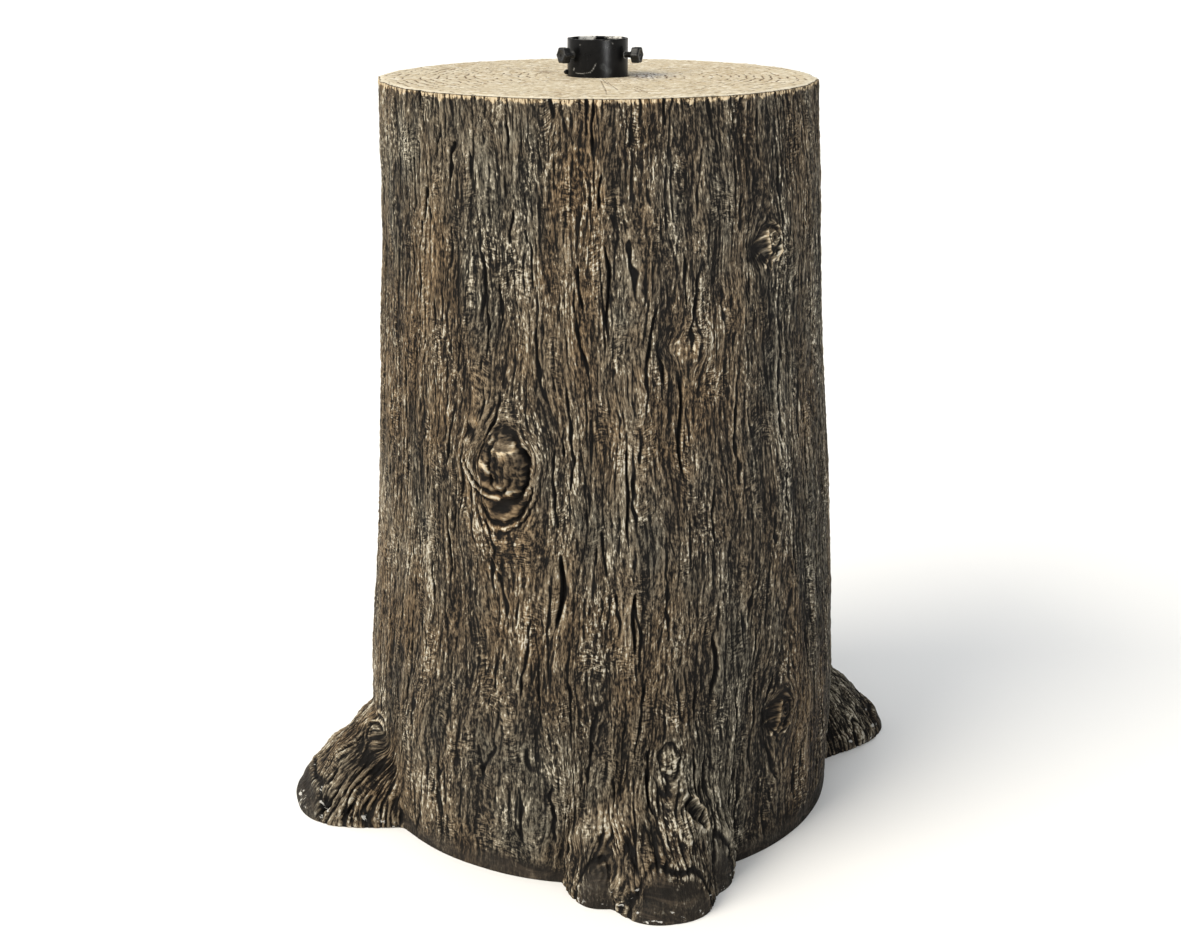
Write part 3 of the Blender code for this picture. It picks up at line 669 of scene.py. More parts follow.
warmth_and_side_light = grain(U, V, 0.070, 0.17, 91) + 0.55 * grain(U, V, 0.024, 0.07, 92)
tone_and_side_shade = grain(U, V, 0.045, 0.11, 93) + 0.6 * grain(Uw, Vw, 0.014, 0.07, 94)
# painted shade: the bark is made darker and greyer on the side turned away from the key light and warmer on the lit
# side; it is also darker towards the bottom
shade_side = 0.5 + 0.5 * np.cos(theta - math.radians(-12.0))
tone_and_side_shade = tone_and_side_shade - 0.45 * smoothstep(0.55, 0.95, shade_side) - 0.40 * smoothstep(0.10, 0.02, z_grid)
warmth_and_side_light = warmth_and_side_light - 0.25 * smoothstep(0.55, 0.95, shade_side) + 0.15 * smoothstep(0.45, 0.10, shade_side)
pale = grain(U, V, 0.030, 0.080, 95) + 0.6 * grain(U, V, 0.011, 0.024, 96)
ragged_rim = 0.0040 + 0.0030 * grain(U, V * 0, 0.006, 0.05, 97) + 0.0022 * grain(U, V * 0, 0.020, 0.05, 98)
rim_cream = smoothstep(HEIGHT - ragged_rim - 0.0012, HEIGHT - ragged_rim + 0.0004, z_grid)
cream = np.clip(knot_cream + 0.42 * arch_ridge * smoothstep(-0.3, 0.5, warp2 + 0.5 * grit) + 0.26 * arch_in
                + 0.95 * rim_cream, 0, 1)
dark = np.clip(0.92 * foot + 0.95 * endness, 0, 1)
attribute("crest", full(0.5, crest, 0.5))
attribute("crack", full(0.0, np.clip((1.15 * main + 0.62 * mid + 0.30 * tiny) * calm + 0.8 * root_crack
                                     + 0.50 * knot_dark, 0, 1.3), 0.0))
attribute("depth", full(0.0, depth, 0.0))
attribute("ridge", full(0.5, ridge_up, 0.5))
attribute("hatch", full(0.0, 0.75 * wr_gate * calm * (1 - np.clip(knot_calm * 1.6 + knot_dark, 0, 1)), 0.0))
attribute("warmth_and_side_light", full(0.0, warmth_and_side_light, 0.0))
attribute("tone_and_side_shade", full(0.0, tone_and_side_shade, 0.0))
attribute("pale", full(0.0, pale, 0.0))
attribute("cream", full(0.0, cream, 0.0))
attribute("dark", full(0.0, dark, 0.0))
fill_crack = fill * smoothstep(0.10, 0.02, np.abs(plane_noise(TX * 1.6, TY, 0.009, 82)))
stain = smoothstep(0.1, 0.7, plane_noise(TX, TY, 0.030, 83)) * smoothstep(0.095, 0.045, np.hypot(TX + 0.045, TY))
attribute("rings", full(np.clip(ring_cut + spokes + 0.9 * fill_crack, 0, 1), 0.0, 0.0))
attribute("bands", full(ring_wide, 0.0, 0.0))
attribute("stain", full(stain, 0.0, 0.0))
attribute("fill", full(fill, 0.0, 0.0))
attribute("edge", full(near_rim, 0.0, 0.0))
ga = (Uw / ROUND * TAU)
gvec = np.stack([0.2 * np.cos(ga), 0.2 * np.sin(ga), Vw], -1)
gall = np.zeros((NR, NU, 3), F32)
gall[R_TOP:R_OUT] = gvec
gall[:R_TOP] = P_top
gall[R_OUT:] = P_in
attribute("grain", gall, 'FLOAT_VECTOR')

# a map of its own: outside 0..0.80, top above it, inside last
uv = mesh.uv_layers.new(name="OFBake")
vv = np.zeros(NR + 1)
vv[:R_TOP] = 0.995 - np.linspace(0, 0.135, R_TOP)
vv[R_TOP:R_OUT] = 0.855 - 0.78 * (path.mean(1) / path.mean(1)[-1])
vv[R_OUT:NR] = 0.072 - np.linspace(0, 0.068, NR - R_OUT)
vv[NR] = 0.002
uu = np.arange(NU + 1) / NU * 0.996 + 0.002
ii = np.repeat(np.arange(NR), NU)
jj = np.tile(np.arange(NU), NR)
next_v = vv[ii + 1]
uvs = np.empty((nf, 4, 2), F32)
uvs[:, 0] = np.stack([uu[jj], vv[ii]], -1)
uvs[:, 1] = np.stack([uu[jj], next_v], -1)
uvs[:, 2] = np.stack([uu[jj + 1], next_v], -1)
uvs[:, 3] = np.stack([uu[jj + 1], vv[ii]], -1)
uv.data.foreach_set("uv", uvs.reshape(-1))
mesh.validate()
stump = bpy.data.objects.new("bark_stump", mesh)
bpy.context.scene.collection.objects.link(stump)
print("stump mesh", len(mesh.vertices), "verts", len(mesh.polygons), "faces")


# ------------------------------------------------------------------ materials
class Nodes:
    """Small helper for building a node material."""

    def __init__(self, name):
        self.mat = bpy.data.materials.new(name)
        self.mat.use_nodes = True
        self.nt = self.mat.node_tree
        self.p = self.nt.nodes["Principled BSDF"]

    def new(self, kind, **kw):
        n = self.nt.nodes.new(kind)
        for k, v in kw.items():
            setattr(n, k, v)
        return n

    def link(self, a, b):
        self.nt.links.new(a, b)

    def put(self, socket, value):
        if isinstance(value, (int, float)):
            socket.default_value = value
        elif isinstance(value, (tuple, list)):
            socket.default_value = (*value, 1.0) if len(value) == 3 and socket.type == 'RGBA' else value
        else:
            self.link(value, socket)

    def attr(self, name, vector=False):
        n = self.new("ShaderNodeAttribute", attribute_name=name)
        return n.outputs["Vector"] if vector else n.outputs["Fac"]

    def math(self, op, a, b=0.0, clamp=False):
        n = self.new("ShaderNodeMath", operation=op, use_clamp=clamp)
        self.put(n.inputs[0], a)
        self.put(n.inputs[1], b)
        return n.outputs[0]

    def range(self, v, a, b, c=0.0, d=1.0):
        n = self.new("ShaderNodeMapRange")
        n.interpolation_type = 'SMOOTHSTEP' if False else 'LINEAR'
        n.clamp = True
        self.put(n.inputs["Value"], v)
        n.inputs["From Min"].default_value = a
        n.inputs["From Max"].default_value = b
        n.inputs["To Min"].default_value = c
        n.inputs["To Max"].default_value = d
        return n.outputs["Result"]

    def mix(self, f, a, b, blend='MIX'):
        n = self.new("ShaderNodeMix", data_type='RGBA', blend_type=blend)
        n.clamp_factor = True
        self.put(n.inputs["Factor"], f)
        self.put(n.inputs[6], a)
        self.put(n.inputs[7], b)
        return n.outputs[2]

    def ramp(self, f, stops):
        n = self.new("ShaderNodeValToRGB")
        self.put(n.inputs["Fac"], f)
        el = n.color_ramp.elements
        while len(el) < len(stops):
            el.new(0.5)
        for e, (pos, c_) in zip(el, stops):
            e.position = pos
        for e, (pos, c_) in zip(sorted(el, key=lambda q: q.position), stops):
            e.color = (*c_, 1.0)
        return n.outputs["Color"]

    def scaled(self, vec, scale):
        n = self.new("ShaderNodeMapping", vector_type='POINT')
        self.put(n.inputs["Vector"], vec)
        n.inputs["Scale"].default_value = scale
        return n.outputs["Vector"]

    def noise(self, vec, scale, detail=3.0, rough=0.55, dist=0.0):
        n = self.new("ShaderNodeTexNoise", noise_dimensions='3D')
        self.put(n.inputs["Vector"], vec)
        n.inputs["Scale"].default_value = scale
        n.inputs["Detail"].default_value = detail
        n.inputs["Roughness"].default_value = rough
        n.inputs["Distortion"].default_value = dist
        return n.outputs["Fac"]

    def bump(self, height, strength, distance, under=None):
        n = self.new("ShaderNodeBump")
        n.inputs["Strength"].default_value = strength
        n.inputs["Distance"].default_value = distance
        self.put(n.inputs["Height"], height)
        if under is not None:
            self.link(under, n.inputs["Normal"])
        return n.outputs["Normal"]

    def out(self, color=None, rough=None, normal=None, metallic=None):
        if color is not None:
            self.put(self.p.inputs["Base Color"], color)
        if rough is not None:
            self.put(self.p.inputs["Roughness"], rough)
        if metallic is not None:
            self.put(self.p.inputs["Metallic"], metallic)
        if normal is not None:
            self.link(normal, self.p.inputs["Normal"])
        return self.mat


def bark_material():
    m = Nodes("bark_paint")
    g = m.attr("grain", True)
    crest, crack, depth_ = m.attr("crest"), m.attr("crack"), m.attr("depth")
    ridge_, hatch_ = m.attr("ridge"), m.attr("hatch")
    warmth_and_side_light_, tone_and_side_shade_, pale_ = m.attr("warmth_and_side_light"), m.attr("tone_and_side_shade"), m.attr("pale")
    cream_, dark_ = m.attr("cream"), m.attr("dark")
    streak = m.noise(m.scaled(g, (1, 1, 0.12)), 520.0, 3.0, 0.62)
    streak2 = m.noise(m.scaled(g, (1, 1, 0.28)), 980.0, 2.0, 0.62)
    speck = m.noise(m.scaled(g, (1, 1, 0.50)), 620.0, 2.0, 0.65)
    bars = m.noise(m.scaled(g, (0.30, 0.30, 1.0)), 760.0, 1.0, 0.5)
    mottle = m.noise(g, 70.0, 4.0, 0.62)

    def off(v, k):
        return m.math('MULTIPLY', m.math('SUBTRACT', v, 0.5), k)

    # height of the grain, from the casting and from the fine fibres
    s = m.math('ADD', m.math('MULTIPLY', crest, 0.70), off(streak, 1.55))
    s = m.math('ADD', s, off(streak2, 1.75))
    s = m.math('ADD', s, m.math('MULTIPLY', off(bars, 2.0), hatch_))
    # this attribute carries painted shade: darker on the side away from the key light
    s = m.math('ADD', s, m.math('MULTIPLY', tone_and_side_shade_, 0.17))
    s = m.math('ADD', s, off(ridge_, 0.34))
    s = m.math('ADD', s, m.math('MULTIPLY', cream_, 0.30))
    s = m.math('SUBTRACT', s, m.math('MULTIPLY', depth_, 0.16))
    s = m.math('ADD', s, 0.135)
    col = m.ramp(s, ((0.12, (0.0032, 0.0028, 0.0025)), (0.32, (0.0088, 0.0072, 0.0058)),
                     (0.46, (0.0370, 0.0305, 0.0222)), (0.68, (0.0800, 0.0675, 0.0500)),
                     (0.96, (0.1700, 0.1480, 0.1130))))
    # greyer or warmer by zone, plus painted shade: greyer on the side away from the key light, warmer on the lit side
    zone = m.range(m.math('ADD', warmth_and_side_light_, off(mottle, 1.6)), -0.75, 0.75)
    tint = m.mix(zone, (0.93, 0.96, 0.95), (1.24, 1.00, 0.74))
    col = m.mix(1.0, col, tint, 'MULTIPLY')
    # dry-brushed cream on the highest grain
    brush = m.math('ADD', s, off(speck, 2.0))
    brush = m.math('ADD', brush, m.math('MULTIPLY', pale_, 0.32))
    brush = m.math('ADD', brush, m.math('MULTIPLY', cream_, 0.42))
    col = m.mix(m.range(brush, 0.93, 1.12, 0.0, 0.90), col, (0.305, 0.268, 0.198))
    col = m.mix(m.range(brush, 1.18, 1.32, 0.0, 0.85), col, (0.480, 0.450, 0.375))
    # black wash in the grooves
    col = m.mix(m.range(m.math('ADD', crack, off(streak2, 0.5)), 0.15, 0.46, 0.0, 0.97), col, (0.0036, 0.0031, 0.0028))
    col = m.mix(m.math('MULTIPLY', m.range(cream_, 0.15, 0.6), 0.7), col, m.mix(1.0, col, (1.14, 0.94, 0.68), 'MULTIPLY'))
    # plain dark foot and cut ends, with a reddish brown showing in places
    rub = m.noise(g, 34.0, 5.0, 0.65)
    rub2 = m.noise(g, 150.0, 4.0, 0.65)
    plain = m.mix(m.range(rub, 0.35, 0.68), (0.0085, 0.0078, 0.0067), (0.0200, 0.0155, 0.0118))
    plain = m.mix(m.range(rub2, 0.52, 0.72, 0.0, 0.6), plain, (0.052, 0.045, 0.035))
    rub3 = m.noise(m.scaled(g, (0.35, 0.35, 1.6)), 120.0, 4.0, 0.6)
    plain = m.mix(m.range(rub3, 0.54, 0.68, 0.0, 0.65), plain, (0.062, 0.047, 0.034))
    plain = m.mix(m.range(rub3, 0.70, 0.78, 0.0, 0.7), plain, (0.170, 0.150, 0.120))
    col = m.mix(m.math('MULTIPLY', dark_, m.range(rub2, 0.30, 0.62, 1.0, 0.72)), col, plain)
    chips = m.noise(g, 150.0, 3.0, 0.6)
    col = m.mix(m.math('MULTIPLY', m.range(chips, 0.635, 0.665), m.range(m.attr("chip"), 0.2, 0.5)), col, (0.46, 0.45, 0.42))
    rough = m.range(s, 0.1, 1.0, 0.82, 0.58)
    hgt = m.math('ADD', m.math('MULTIPLY', streak, 0.65), m.math('MULTIPLY', streak2, 0.40))
    hgt = m.math('ADD', hgt, m.math('MULTIPLY', m.math('MULTIPLY', bars, hatch_), 0.5))
    hgt = m.math('ADD', hgt, m.math('MULTIPLY', speck, 0.25))
    n = m.bump(hgt, 0.85, 0.0013)
    m.p.inputs["Specular IOR Level"].default_value = 0.16
    return m.out(col, rough, n)


def top_material():
    m = Nodes("cut_top_paint")
    g = m.attr("grain", True)
    rings, fill_, edge_ = m.attr("rings"), m.attr("fill"), m.attr("edge")
    big_n = m.noise(g, 14.0, 4.0, 0.6)
    mid_n = m.noise(g, 80.0, 4.0, 0.65)
    small = m.noise(g, 380.0, 3.0, 0.6)
    fleck = m.noise(m.scaled(g, (0.35, 1, 1)), 520.0, 2.0, 0.6)
    col = m.mix(m.range(big_n, 0.32, 0.68), (0.500, 0.420, 0.285), (0.560, 0.495, 0.360))
    col = m.mix(m.math('MULTIPLY', m.attr("bands"), m.range(mid_n, 0.30, 0.62, 0.1, 0.62)), col, (0.400, 0.300, 0.178))
    col = m.mix(m.range(mid_n, 0.52, 0.74, 0.0, 0.55), col, (0.390, 0.290, 0.172))
    fleck2 = m.noise(m.scaled(g, (0.22, 1, 1)), 260.0, 3.0, 0.6)
    col = m.mix(m.range(fleck, 0.54, 0.62, 0.0, 0.75), col, (0.800, 0.760, 0.640))
    col = m.mix(m.range(fleck2, 0.60, 0.66, 0.0, 0.80), col, (0.860, 0.830, 0.740))
    col = m.mix(m.range(fleck2, 0.42, 0.36, 0.0, 0.50), col, (0.330, 0.235, 0.140))
    col = m.mix(m.math('MULTIPLY', m.range(small, 0.43, 0.33), 0.55), col, (0.215, 0.150, 0.092))
    col = m.mix(m.math('MULTIPLY', m.attr("stain"), m.range(mid_n, 0.40, 0.60, 0.0, 0.6)), col, (0.200, 0.150, 0.105))
    col = m.mix(m.math('MULTIPLY', fill_, m.range(mid_n, 0.36, 0.56, 0.15, 0.95)), col, (0.560, 0.550, 0.540))
    col = m.mix(m.range(rings, 0.05, 0.36, 0.0, 0.95), col, (0.105, 0.068, 0.040))
    col = m.mix(m.range(edge_, 0.50, 1.0, 0.0, 0.8), col, (0.640, 0.590, 0.470))
    crackle = m.math('MULTIPLY', m.range(m.noise(g, 300.0, 3.0, 0.7), 0.47, 0.43), fill_)
    col = m.mix(m.math('MULTIPLY', crackle, 0.9, clamp=True), col, (0.030, 0.022, 0.017))
    hgt = m.math('ADD', m.math('MULTIPLY', small, 0.6), m.math('MULTIPLY', mid_n, 0.4))
    n = m.bump(hgt, 0.8, 0.0010)
    m.p.inputs["Specular IOR Level"].default_value = 0.25
    return m.out(col, m.range(mid_n, 0.3, 0.7, 0.62, 0.82), n)


def raw_material():
    m = Nodes("raw_cast_inside")
    tc = m.new("ShaderNodeTexCoord").outputs["Object"]
    a_ = m.noise(tc, 30.0, 5.0, 0.6)
    b_ = m.noise(tc, 240.0, 3.0, 0.6)
    col = m.mix(m.range(a_, 0.3, 0.7), (0.30, 0.285, 0.255), (0.43, 0.41, 0.37))
    n = m.bump(m.math('ADD', a_, m.math('MULTIPLY', b_, 0.4)), 0.6, 0.003)
    return m.out(col, 0.85, n)


# chips: pale bits of bare casting along root edges near the ground
chip = np.clip(smoothstep(0.014, 0.006, z_grid) * smoothstep(0.3, 0.7, on_root)
               + 0.8 * smoothstep(0.26, 0.34, at_end) * smoothstep(0.50, 0.42, at_end) * smoothstep(0.030, 0.022, z_grid), 0, 1)
attribute("chip", full(0.0, chip, 0.0))
mesh.materials.append(bark_material())
mesh.materials.append(top_material())
mesh.materials.append(raw_material())
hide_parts("stump_casting")
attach(stump, "stump")

# ------------------------------------------------------------------ collar and thumbscrews
TUBE_R, TUBE_IN, TUBE_TOP, TUBE_LOW = 0.0254, 0.0229, 0.6775, 0.0063
SCREW_Z = 0.6645
SCREWS = (("left", -145.0, 0.0290), ("right", -25.0, 0.0307))


def revolved(name, profile, seg, shape=None, loop=False):
    """A closed mesh turned about Z from (r, z) points; shape(r, z, phi) may change r and z."""
    prof = np.array(profile, float)
    phi = np.arange(seg) / seg * TAU
    r = np.repeat(prof[:, :1], seg, 1)
    z_ = np.repeat(prof[:, 1:], seg, 1)
    ph = np.repeat(phi[None, :], len(prof), 0)
    if shape is not None:
        r, z_ = shape(r, z_, ph)
    co_ = np.stack([r * np.cos(ph), r * np.sin(ph), z_], -1)
    bm_ = bmesh.new()
    rows = []
    for k, (pr, pz) in enumerate(prof):
        if pr < 1e-7:
            rows.append([bm_.verts.new((0, 0, float(z_[k].mean())))] * seg)
        else:
            rows.append([bm_.verts.new(p) for p in co_[k]])
    pairs = list(zip(rows, rows[1:])) + ([(rows[-1], rows[0])] if loop else [])
    for top_row, low_row in pairs:
        for k in range(seg):
            k2 = (k + 1) % seg
            quad = [top_row[k], low_row[k], low_row[k2], top_row[k2]]
            seen = []
            for v_ in quad:
                if v_ not in seen:
                    seen.append(v_)
            if len(seen) > 2:
                bm_.faces.new(seen)
    bmesh.ops.recalc_face_normals(bm_, faces=bm_.faces)
    me = bpy.data.meshes.new(name)
    bm_.to_mesh(me)
    bm_.free()
    ob = bpy.data.objects.new(name, me)
    bpy.context.scene.collection.objects.link(ob)
    return ob


def finished(ob, angle=35.0):
    ob.data.shade_smooth()
    ob.data.set_sharp_from_angle(angle=math.radians(angle))
    return ob


def screw_frame(azimuth, distance):
    d_ = Vector((math.cos(math.radians(azimuth)), math.sin(math.radians(azimuth)), 0.0))
    up = Vector((0.0, 0.0, 1.0))
    side = up.cross(d_)
    return Matrix(((side.x, up.x, d_.x, d_.x * distance), (side.y, up.y, d_.y, d_.y * distance),
                   (side.z, up.z, d_.z, SCREW_Z), (0, 0, 0, 1)))


# the tube: rolled rim, faint hammer marks, two tapped holes
prof = [(TUBE_IN, TUBE_TOP - 0.0005), (TUBE_IN + 0.0003, TUBE_TOP - 0.0001), (TUBE_IN + 0.0009, TUBE_TOP),
        (TUBE_R - 0.0008, TUBE_TOP), (TUBE_R - 0.0003, TUBE_TOP - 0.0001), (TUBE_R, TUBE_TOP - 0.0005)]
prof += [(TUBE_R, TUBE_TOP - 0.0005 - 0.0005 * k) for k in range(1, 66)]
prof += [(TUBE_R, 0.60), (TUBE_R, 0.30), (TUBE_R, TUBE_LOW), (TUBE_IN, TUBE_LOW), (TUBE_IN, 0.30), (TUBE_IN, 0.60)]
prof += [(TUBE_IN, TUBE_TOP - 0.0330 + 0.0005 * k) for k in range(0, 65)]


def rim_shape(r, z_, ph):
    up = smoothstep(0.655, 0.6775, z_)
    r = r + up * (0.00012 * np.sin(ph * 3 + 0.6) + 0.00006 * np.sin(ph * 11))
    z_ = z_ - up * (0.00012 + 0.00012 * np.sin(ph * 5 + 1.0))
    return r, z_


tube = revolved("collar_tube", prof, 224, rim_shape, loop=True)
for name, az, inner in SCREWS:
    cutter = revolved("hole_" + name, [(0.0, 0.014), (0.00265, 0.014), (0.00265, -0.014), (0.0, -0.014)], 24)
    cutter.matrix_world = screw_frame(az, 0.0254)
    md = tube.modifiers.new("hole_" + name, 'BOOLEAN')
    md.operation = 'DIFFERENCE'
    md.solver = 'EXACT'
    md.object = cutter
bpy.context.view_layer.update()
dg = bpy.context.evaluated_depsgraph_get()
holed = bpy.data.meshes.new_from_object(tube.evaluated_get(dg))
tube.modifiers.clear()
tube.data = holed
for name, az, inner in SCREWS:
    bpy.data.objects.remove(bpy.data.objects["hole_" + name], do_unlink=True)
finished(tube, 40.0)
nv_ = len(holed.vertices)
co_ = np.empty(nv_ * 3)
holed.vertices.foreach_get("co", co_)
co_ = co_.reshape(-1, 3)
tr, tz = np.hypot(co_[:, 0], co_[:, 1]), co_[:, 2]
ta = np.degrees(np.arctan2(co_[:, 1], co_[:, 0]))
rough_n = (np.sin(ta * 0.9) + np.sin(ta * 0.37 + tz * 2600) + np.sin(ta * 1.7 + tz * 1500)) / 3
inner_wall = smoothstep(0.0243, 0.0236, tr)
worn = inner_wall * smoothstep(TUBE_TOP - 0.0042, TUBE_TOP - 0.0034, tz + 0.0007 * rough_n)
worn *= np.maximum(smoothstep(-0.0165, -0.0145, co_[:, 0] + 0.0006 * rough_n) * smoothstep(-0.001, -0.0025, co_[:, 0]),
                   smoothstep(0.0055, 0.0075, co_[:, 0]) * smoothstep(0.0215, 0.0190, co_[:, 0])) * (co_[:, 1] > 0)
rim_wear = smoothstep(TUBE_TOP - 0.0005, TUBE_TOP - 0.0001, tz) * smoothstep(0.35, 0.75, rough_n) * 0.55


def tube_line(points, width):
    """A thin line on the tube's outside through (degrees from the front, height) points."""
    best = np.full(nv_, 9.0)
    px = np.radians(ta + 90.0) * TUBE_R
    for (a0, z0), (a1, z1) in zip(points, points[1:]):
        x0, x1 = math.radians(a0) * TUBE_R, math.radians(a1) * TUBE_R
        dx, dz = x1 - x0, z1 - z0
        t_ = np.clip(((px - x0) * dx + (tz - z0) * dz) / (dx * dx + dz * dz), 0, 1)
        best = np.minimum(best, np.hypot(px - x0 - t_ * dx, tz - z0 - t_ * dz))
    return smoothstep(width, width * 0.35, best) * (tr > 0.0250)


scratch = tube_line(((-45.0, 0.6502), (-30.0, 0.6500), (-14.3, 0.6512), (-9.0, 0.6535), (-6.6, 0.6556), (-2.8, 0.6586)), 0.00040)
scratch *= 0.6 * smoothstep(-0.75, 0.1, np.sin(ta * 1.9) + 0.5 * np.sin(ta * 4.1 + 1.0))
chips_ = 0.62 * np.maximum.reduce([tube_line(((-52.0, 0.6524), (-50.5, 0.6537)), 0.0009), tube_line(((-35.0, 0.6730), (-34.4, 0.6732)), 0.00042),
                            tube_line(((28.5, 0.6740), (28.0, 0.6750)), 0.00042), tube_line(((14.0, 0.6766), (21.0, 0.6768)), 0.0004) * 0.4])
smear = tube_line(((9.0, 0.6560), (14.0, 0.6540), (22.0, 0.6520)), 0.0034) * 0.8 + tube_line(((10.0, 0.6580), (20.0, 0.6520)), 0.0012) * 0.6
hole_wear = np.zeros(nv_)
for name, az, inner in SCREWS:
    f_ = np.array(screw_frame(az, 0.0254).inverted())
    q_ = co_ @ f_[:3, :3].T + f_[:3, 3]
    ring_ = smoothstep(0.0036, 0.0031, np.hypot(q_[:, 0], q_[:, 1])) * (q_[:, 2] > -0.0060)
    hole_wear = np.maximum(hole_wear, ring_ * (0.5 if name == "right" else 0.10))


def small_attribute(me, name, values):
    at = me.attributes.new(name, 'FLOAT', 'POINT')
    at.data.foreach_set("value", np.ascontiguousarray(values, dtype=F32))


worn = worn * np.where(co_[:, 0] > 0, smoothstep(TUBE_TOP - 0.0026, TUBE_TOP - 0.0014, tz), smoothstep(TUBE_TOP - 0.0050, TUBE_TOP - 0.0038, tz))
small_attribute(holed, "bare", np.clip(worn + rim_wear + hole_wear, 0, 1))
small_attribute(holed, "chip", np.clip(scratch + chips_, 0, 1))
small_attribute(holed, "smear", np.clip(smear, 0, 1))


def black_paint():
    m = Nodes("black_tube_paint")
    tc = m.new("ShaderNodeTexCoord").outputs["Object"]
    n1 = m.noise(tc, 160.0, 4.0, 0.6)
    n2 = m.noise(tc, 900.0, 3.0, 0.65)
    dust = m.noise(m.scaled(tc, (1, 1, 0.3)), 260.0, 4.0, 0.7)
    col = m.mix(m.range(n1, 0.35, 0.7), (0.0022, 0.0022, 0.0024), (0.0050, 0.0050, 0.0052))
    col = m.mix(m.range(dust, 0.62, 0.78, 0.0, 0.5), col, (0.030, 0.029, 0.027))
    col = m.mix(m.math('MULTIPLY', m.attr("smear"), m.range(n2, 0.35, 0.65, 0.25, 0.8)), col, (0.040, 0.042, 0.043))
    col = m.mix(m.math('MULTIPLY', m.attr("chip"), m.range(n2, 0.30, 0.45)), col, (0.42, 0.41, 0.38))
    bare = m.math('MULTIPLY', m.attr("bare"), m.range(m.math('ADD', m.math('MULTIPLY', n1, 0.6), m.math('MULTIPLY', n2, 0.4)), 0.38, 0.50), clamp=True)
    col = m.mix(bare, col, m.mix(n1, (0.52, 0.51, 0.47), (0.78, 0.77, 0.73)))
    rough = m.math('ADD', m.range(n1, 0.3, 0.7, 0.26, 0.38), m.math('MULTIPLY', bare, 0.15))
    nrm = m.bump(m.math('ADD', m.math('MULTIPLY', n1, 0.5), m.math('MULTIPLY', n2, 0.4)), 0.25, 0.0004)
    m.p.inputs["Specular IOR Level"].default_value = 0.12
    return m.out(col, rough, nrm)


tube.data.materials.clear()
tube.data.materials.append(black_paint())
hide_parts("pole_tube")
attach(tube, "stump")

# a bead of weld and paint at the foot of the tube, on the left


def bead_shape(r, z_, ph):
    k = 1 + 0.16 * np.sin(ph * 3 + z_ * 900) + 0.10 * np.sin(ph * 5 - z_ * 1500)
    return r * k, z_


bead_prof = [(0.0, 0.0021)] + [(0.0023 * math.sin(t_), 0.0021 * math.cos(t_)) for t_ in np.linspace(0.2, math.pi - 0.2, 14)] + [(0.0, -0.0021)]
bead = finished(revolved("weld_bead", bead_prof, 24, bead_shape), 60.0)
bead.matrix_world = Matrix.Translation((-0.0259, -0.0020, 0.6497))
bead.data.materials.append(tube.data.materials[0])
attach(bead, "stump")


def knob_material():
    m = Nodes("black_knob_plastic")
    tc = m.new("ShaderNodeTexCoord").outputs["Object"]
    n1 = m.noise(tc, 420.0, 4.0, 0.6)
    n2 = m.noise(tc, 1800.0, 2.0, 0.6)
    col = m.mix(m.range(n1, 0.35, 0.7), (0.0040, 0.0040, 0.0042), (0.0105, 0.0104, 0.0102))
    col = m.mix(m.range(n2, 0.62, 0.70, 0.0, 0.35), col, (0.060, 0.058, 0.054))
    nrm = m.bump(n2, 0.22, 0.0003)
    m.p.inputs["Specular IOR Level"].default_value = 0.32
    return m.out(col, m.range(n1, 0.3, 0.7, 0.26, 0.42), nrm)


def thread_material():
    m = Nodes("blackened_thread")
    tc = m.new("ShaderNodeTexCoord").outputs["Object"]
    n1 = m.noise(tc, 600.0, 3.0, 0.6)
    col = m.mix(m.range(n1, 0.4, 0.75), (0.0100, 0.0100, 0.0102), (0.0500, 0.0490, 0.0470))
    nrm = m.bump(n1, 0.2, 0.0002)
    return m.out(col, m.range(n1, 0.3, 0.7, 0.24, 0.40), nrm, 0.55)


KNOB_MAT, THREAD_MAT = knob_material(), thread_material()


def thread_shape(r, z_, ph):
    """M5 x 0.8: the crest is the stud's radius."""
    w_ = (z_ / 0.0008 - ph / TAU) % 1.0
    cut = np.abs(w_ - 0.5) * 2.0
    depth_ = 0.00034 * np.clip(cut * 1.25 - 0.10, 0, 1)
    return np.where(r > 0.0021, r - depth_ * smoothstep(-0.0120, -0.0112, z_), r), z_


def knob_shape(r, z_, ph):
    lobe = np.maximum(np.cos(ph * 6.0), -0.55)
    grip_ = smoothstep(0.0043, 0.0058, r) * smoothstep(0.0012, 0.0018, z_)
    fine_ = 0.00006 * np.sin(ph * 48)
    return r + grip_ * (0.00055 * lobe - 0.00010) + grip_ * fine_, z_


for name, az, inner in SCREWS:
    steps_ = 150
    prof = [(0.0, 0.0060), (0.0021, 0.0060)]
    prof += [(0.0025, 0.0058 - (0.0058 + 0.0116) * k / steps_) for k in range(steps_ + 1)]
    prof += [(0.0020, -0.0120), (0.0, -0.0120)]
    stud = finished(revolved(name + "_threaded_stud", prof, 40, thread_shape), 50.0)
    stud.matrix_world = screw_frame(az, inner)
    stud.data.materials.append(THREAD_MAT)
    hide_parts(name + "_stud")
    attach(stud, name + "_screw")

    prof = [(0.0, 0.0074), (0.0011, 0.0074), (0.0013, 0.0079), (0.0028, 0.0080), (0.0033, 0.0081), (0.0037, 0.0085),
            (0.0050, 0.0085), (0.0058, 0.0084), (0.0062, 0.0081), (0.00645, 0.0077), (0.0065, 0.0071)]
    prof += [(0.0065, 0.0071 - 0.0003 * k) for k in range(1, 15)]
    prof += [(0.00645, 0.0024), (0.0062, 0.0019), (0.0057, 0.0016), (0.0050, 0.00145), (0.0042, 0.0014), (0.0036, 0.0013),
             (0.0034, 0.0009), (0.0034, 0.0004), (0.0032, 0.0001), (0.0030, 0.0), (0.0029, 0.0), (0.0028, 0.0003),
             (0.0028, 0.0061), (0.0, 0.0061)]
    knob = finished(revolved(name + "_lobed_knob", prof, 144, knob_shape), 50.0)
    knob.matrix_world = screw_frame(az, inner)
    knob.data.materials.append(KNOB_MAT)
    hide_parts(name + "_knob")
    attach(knob, name + "_grip")


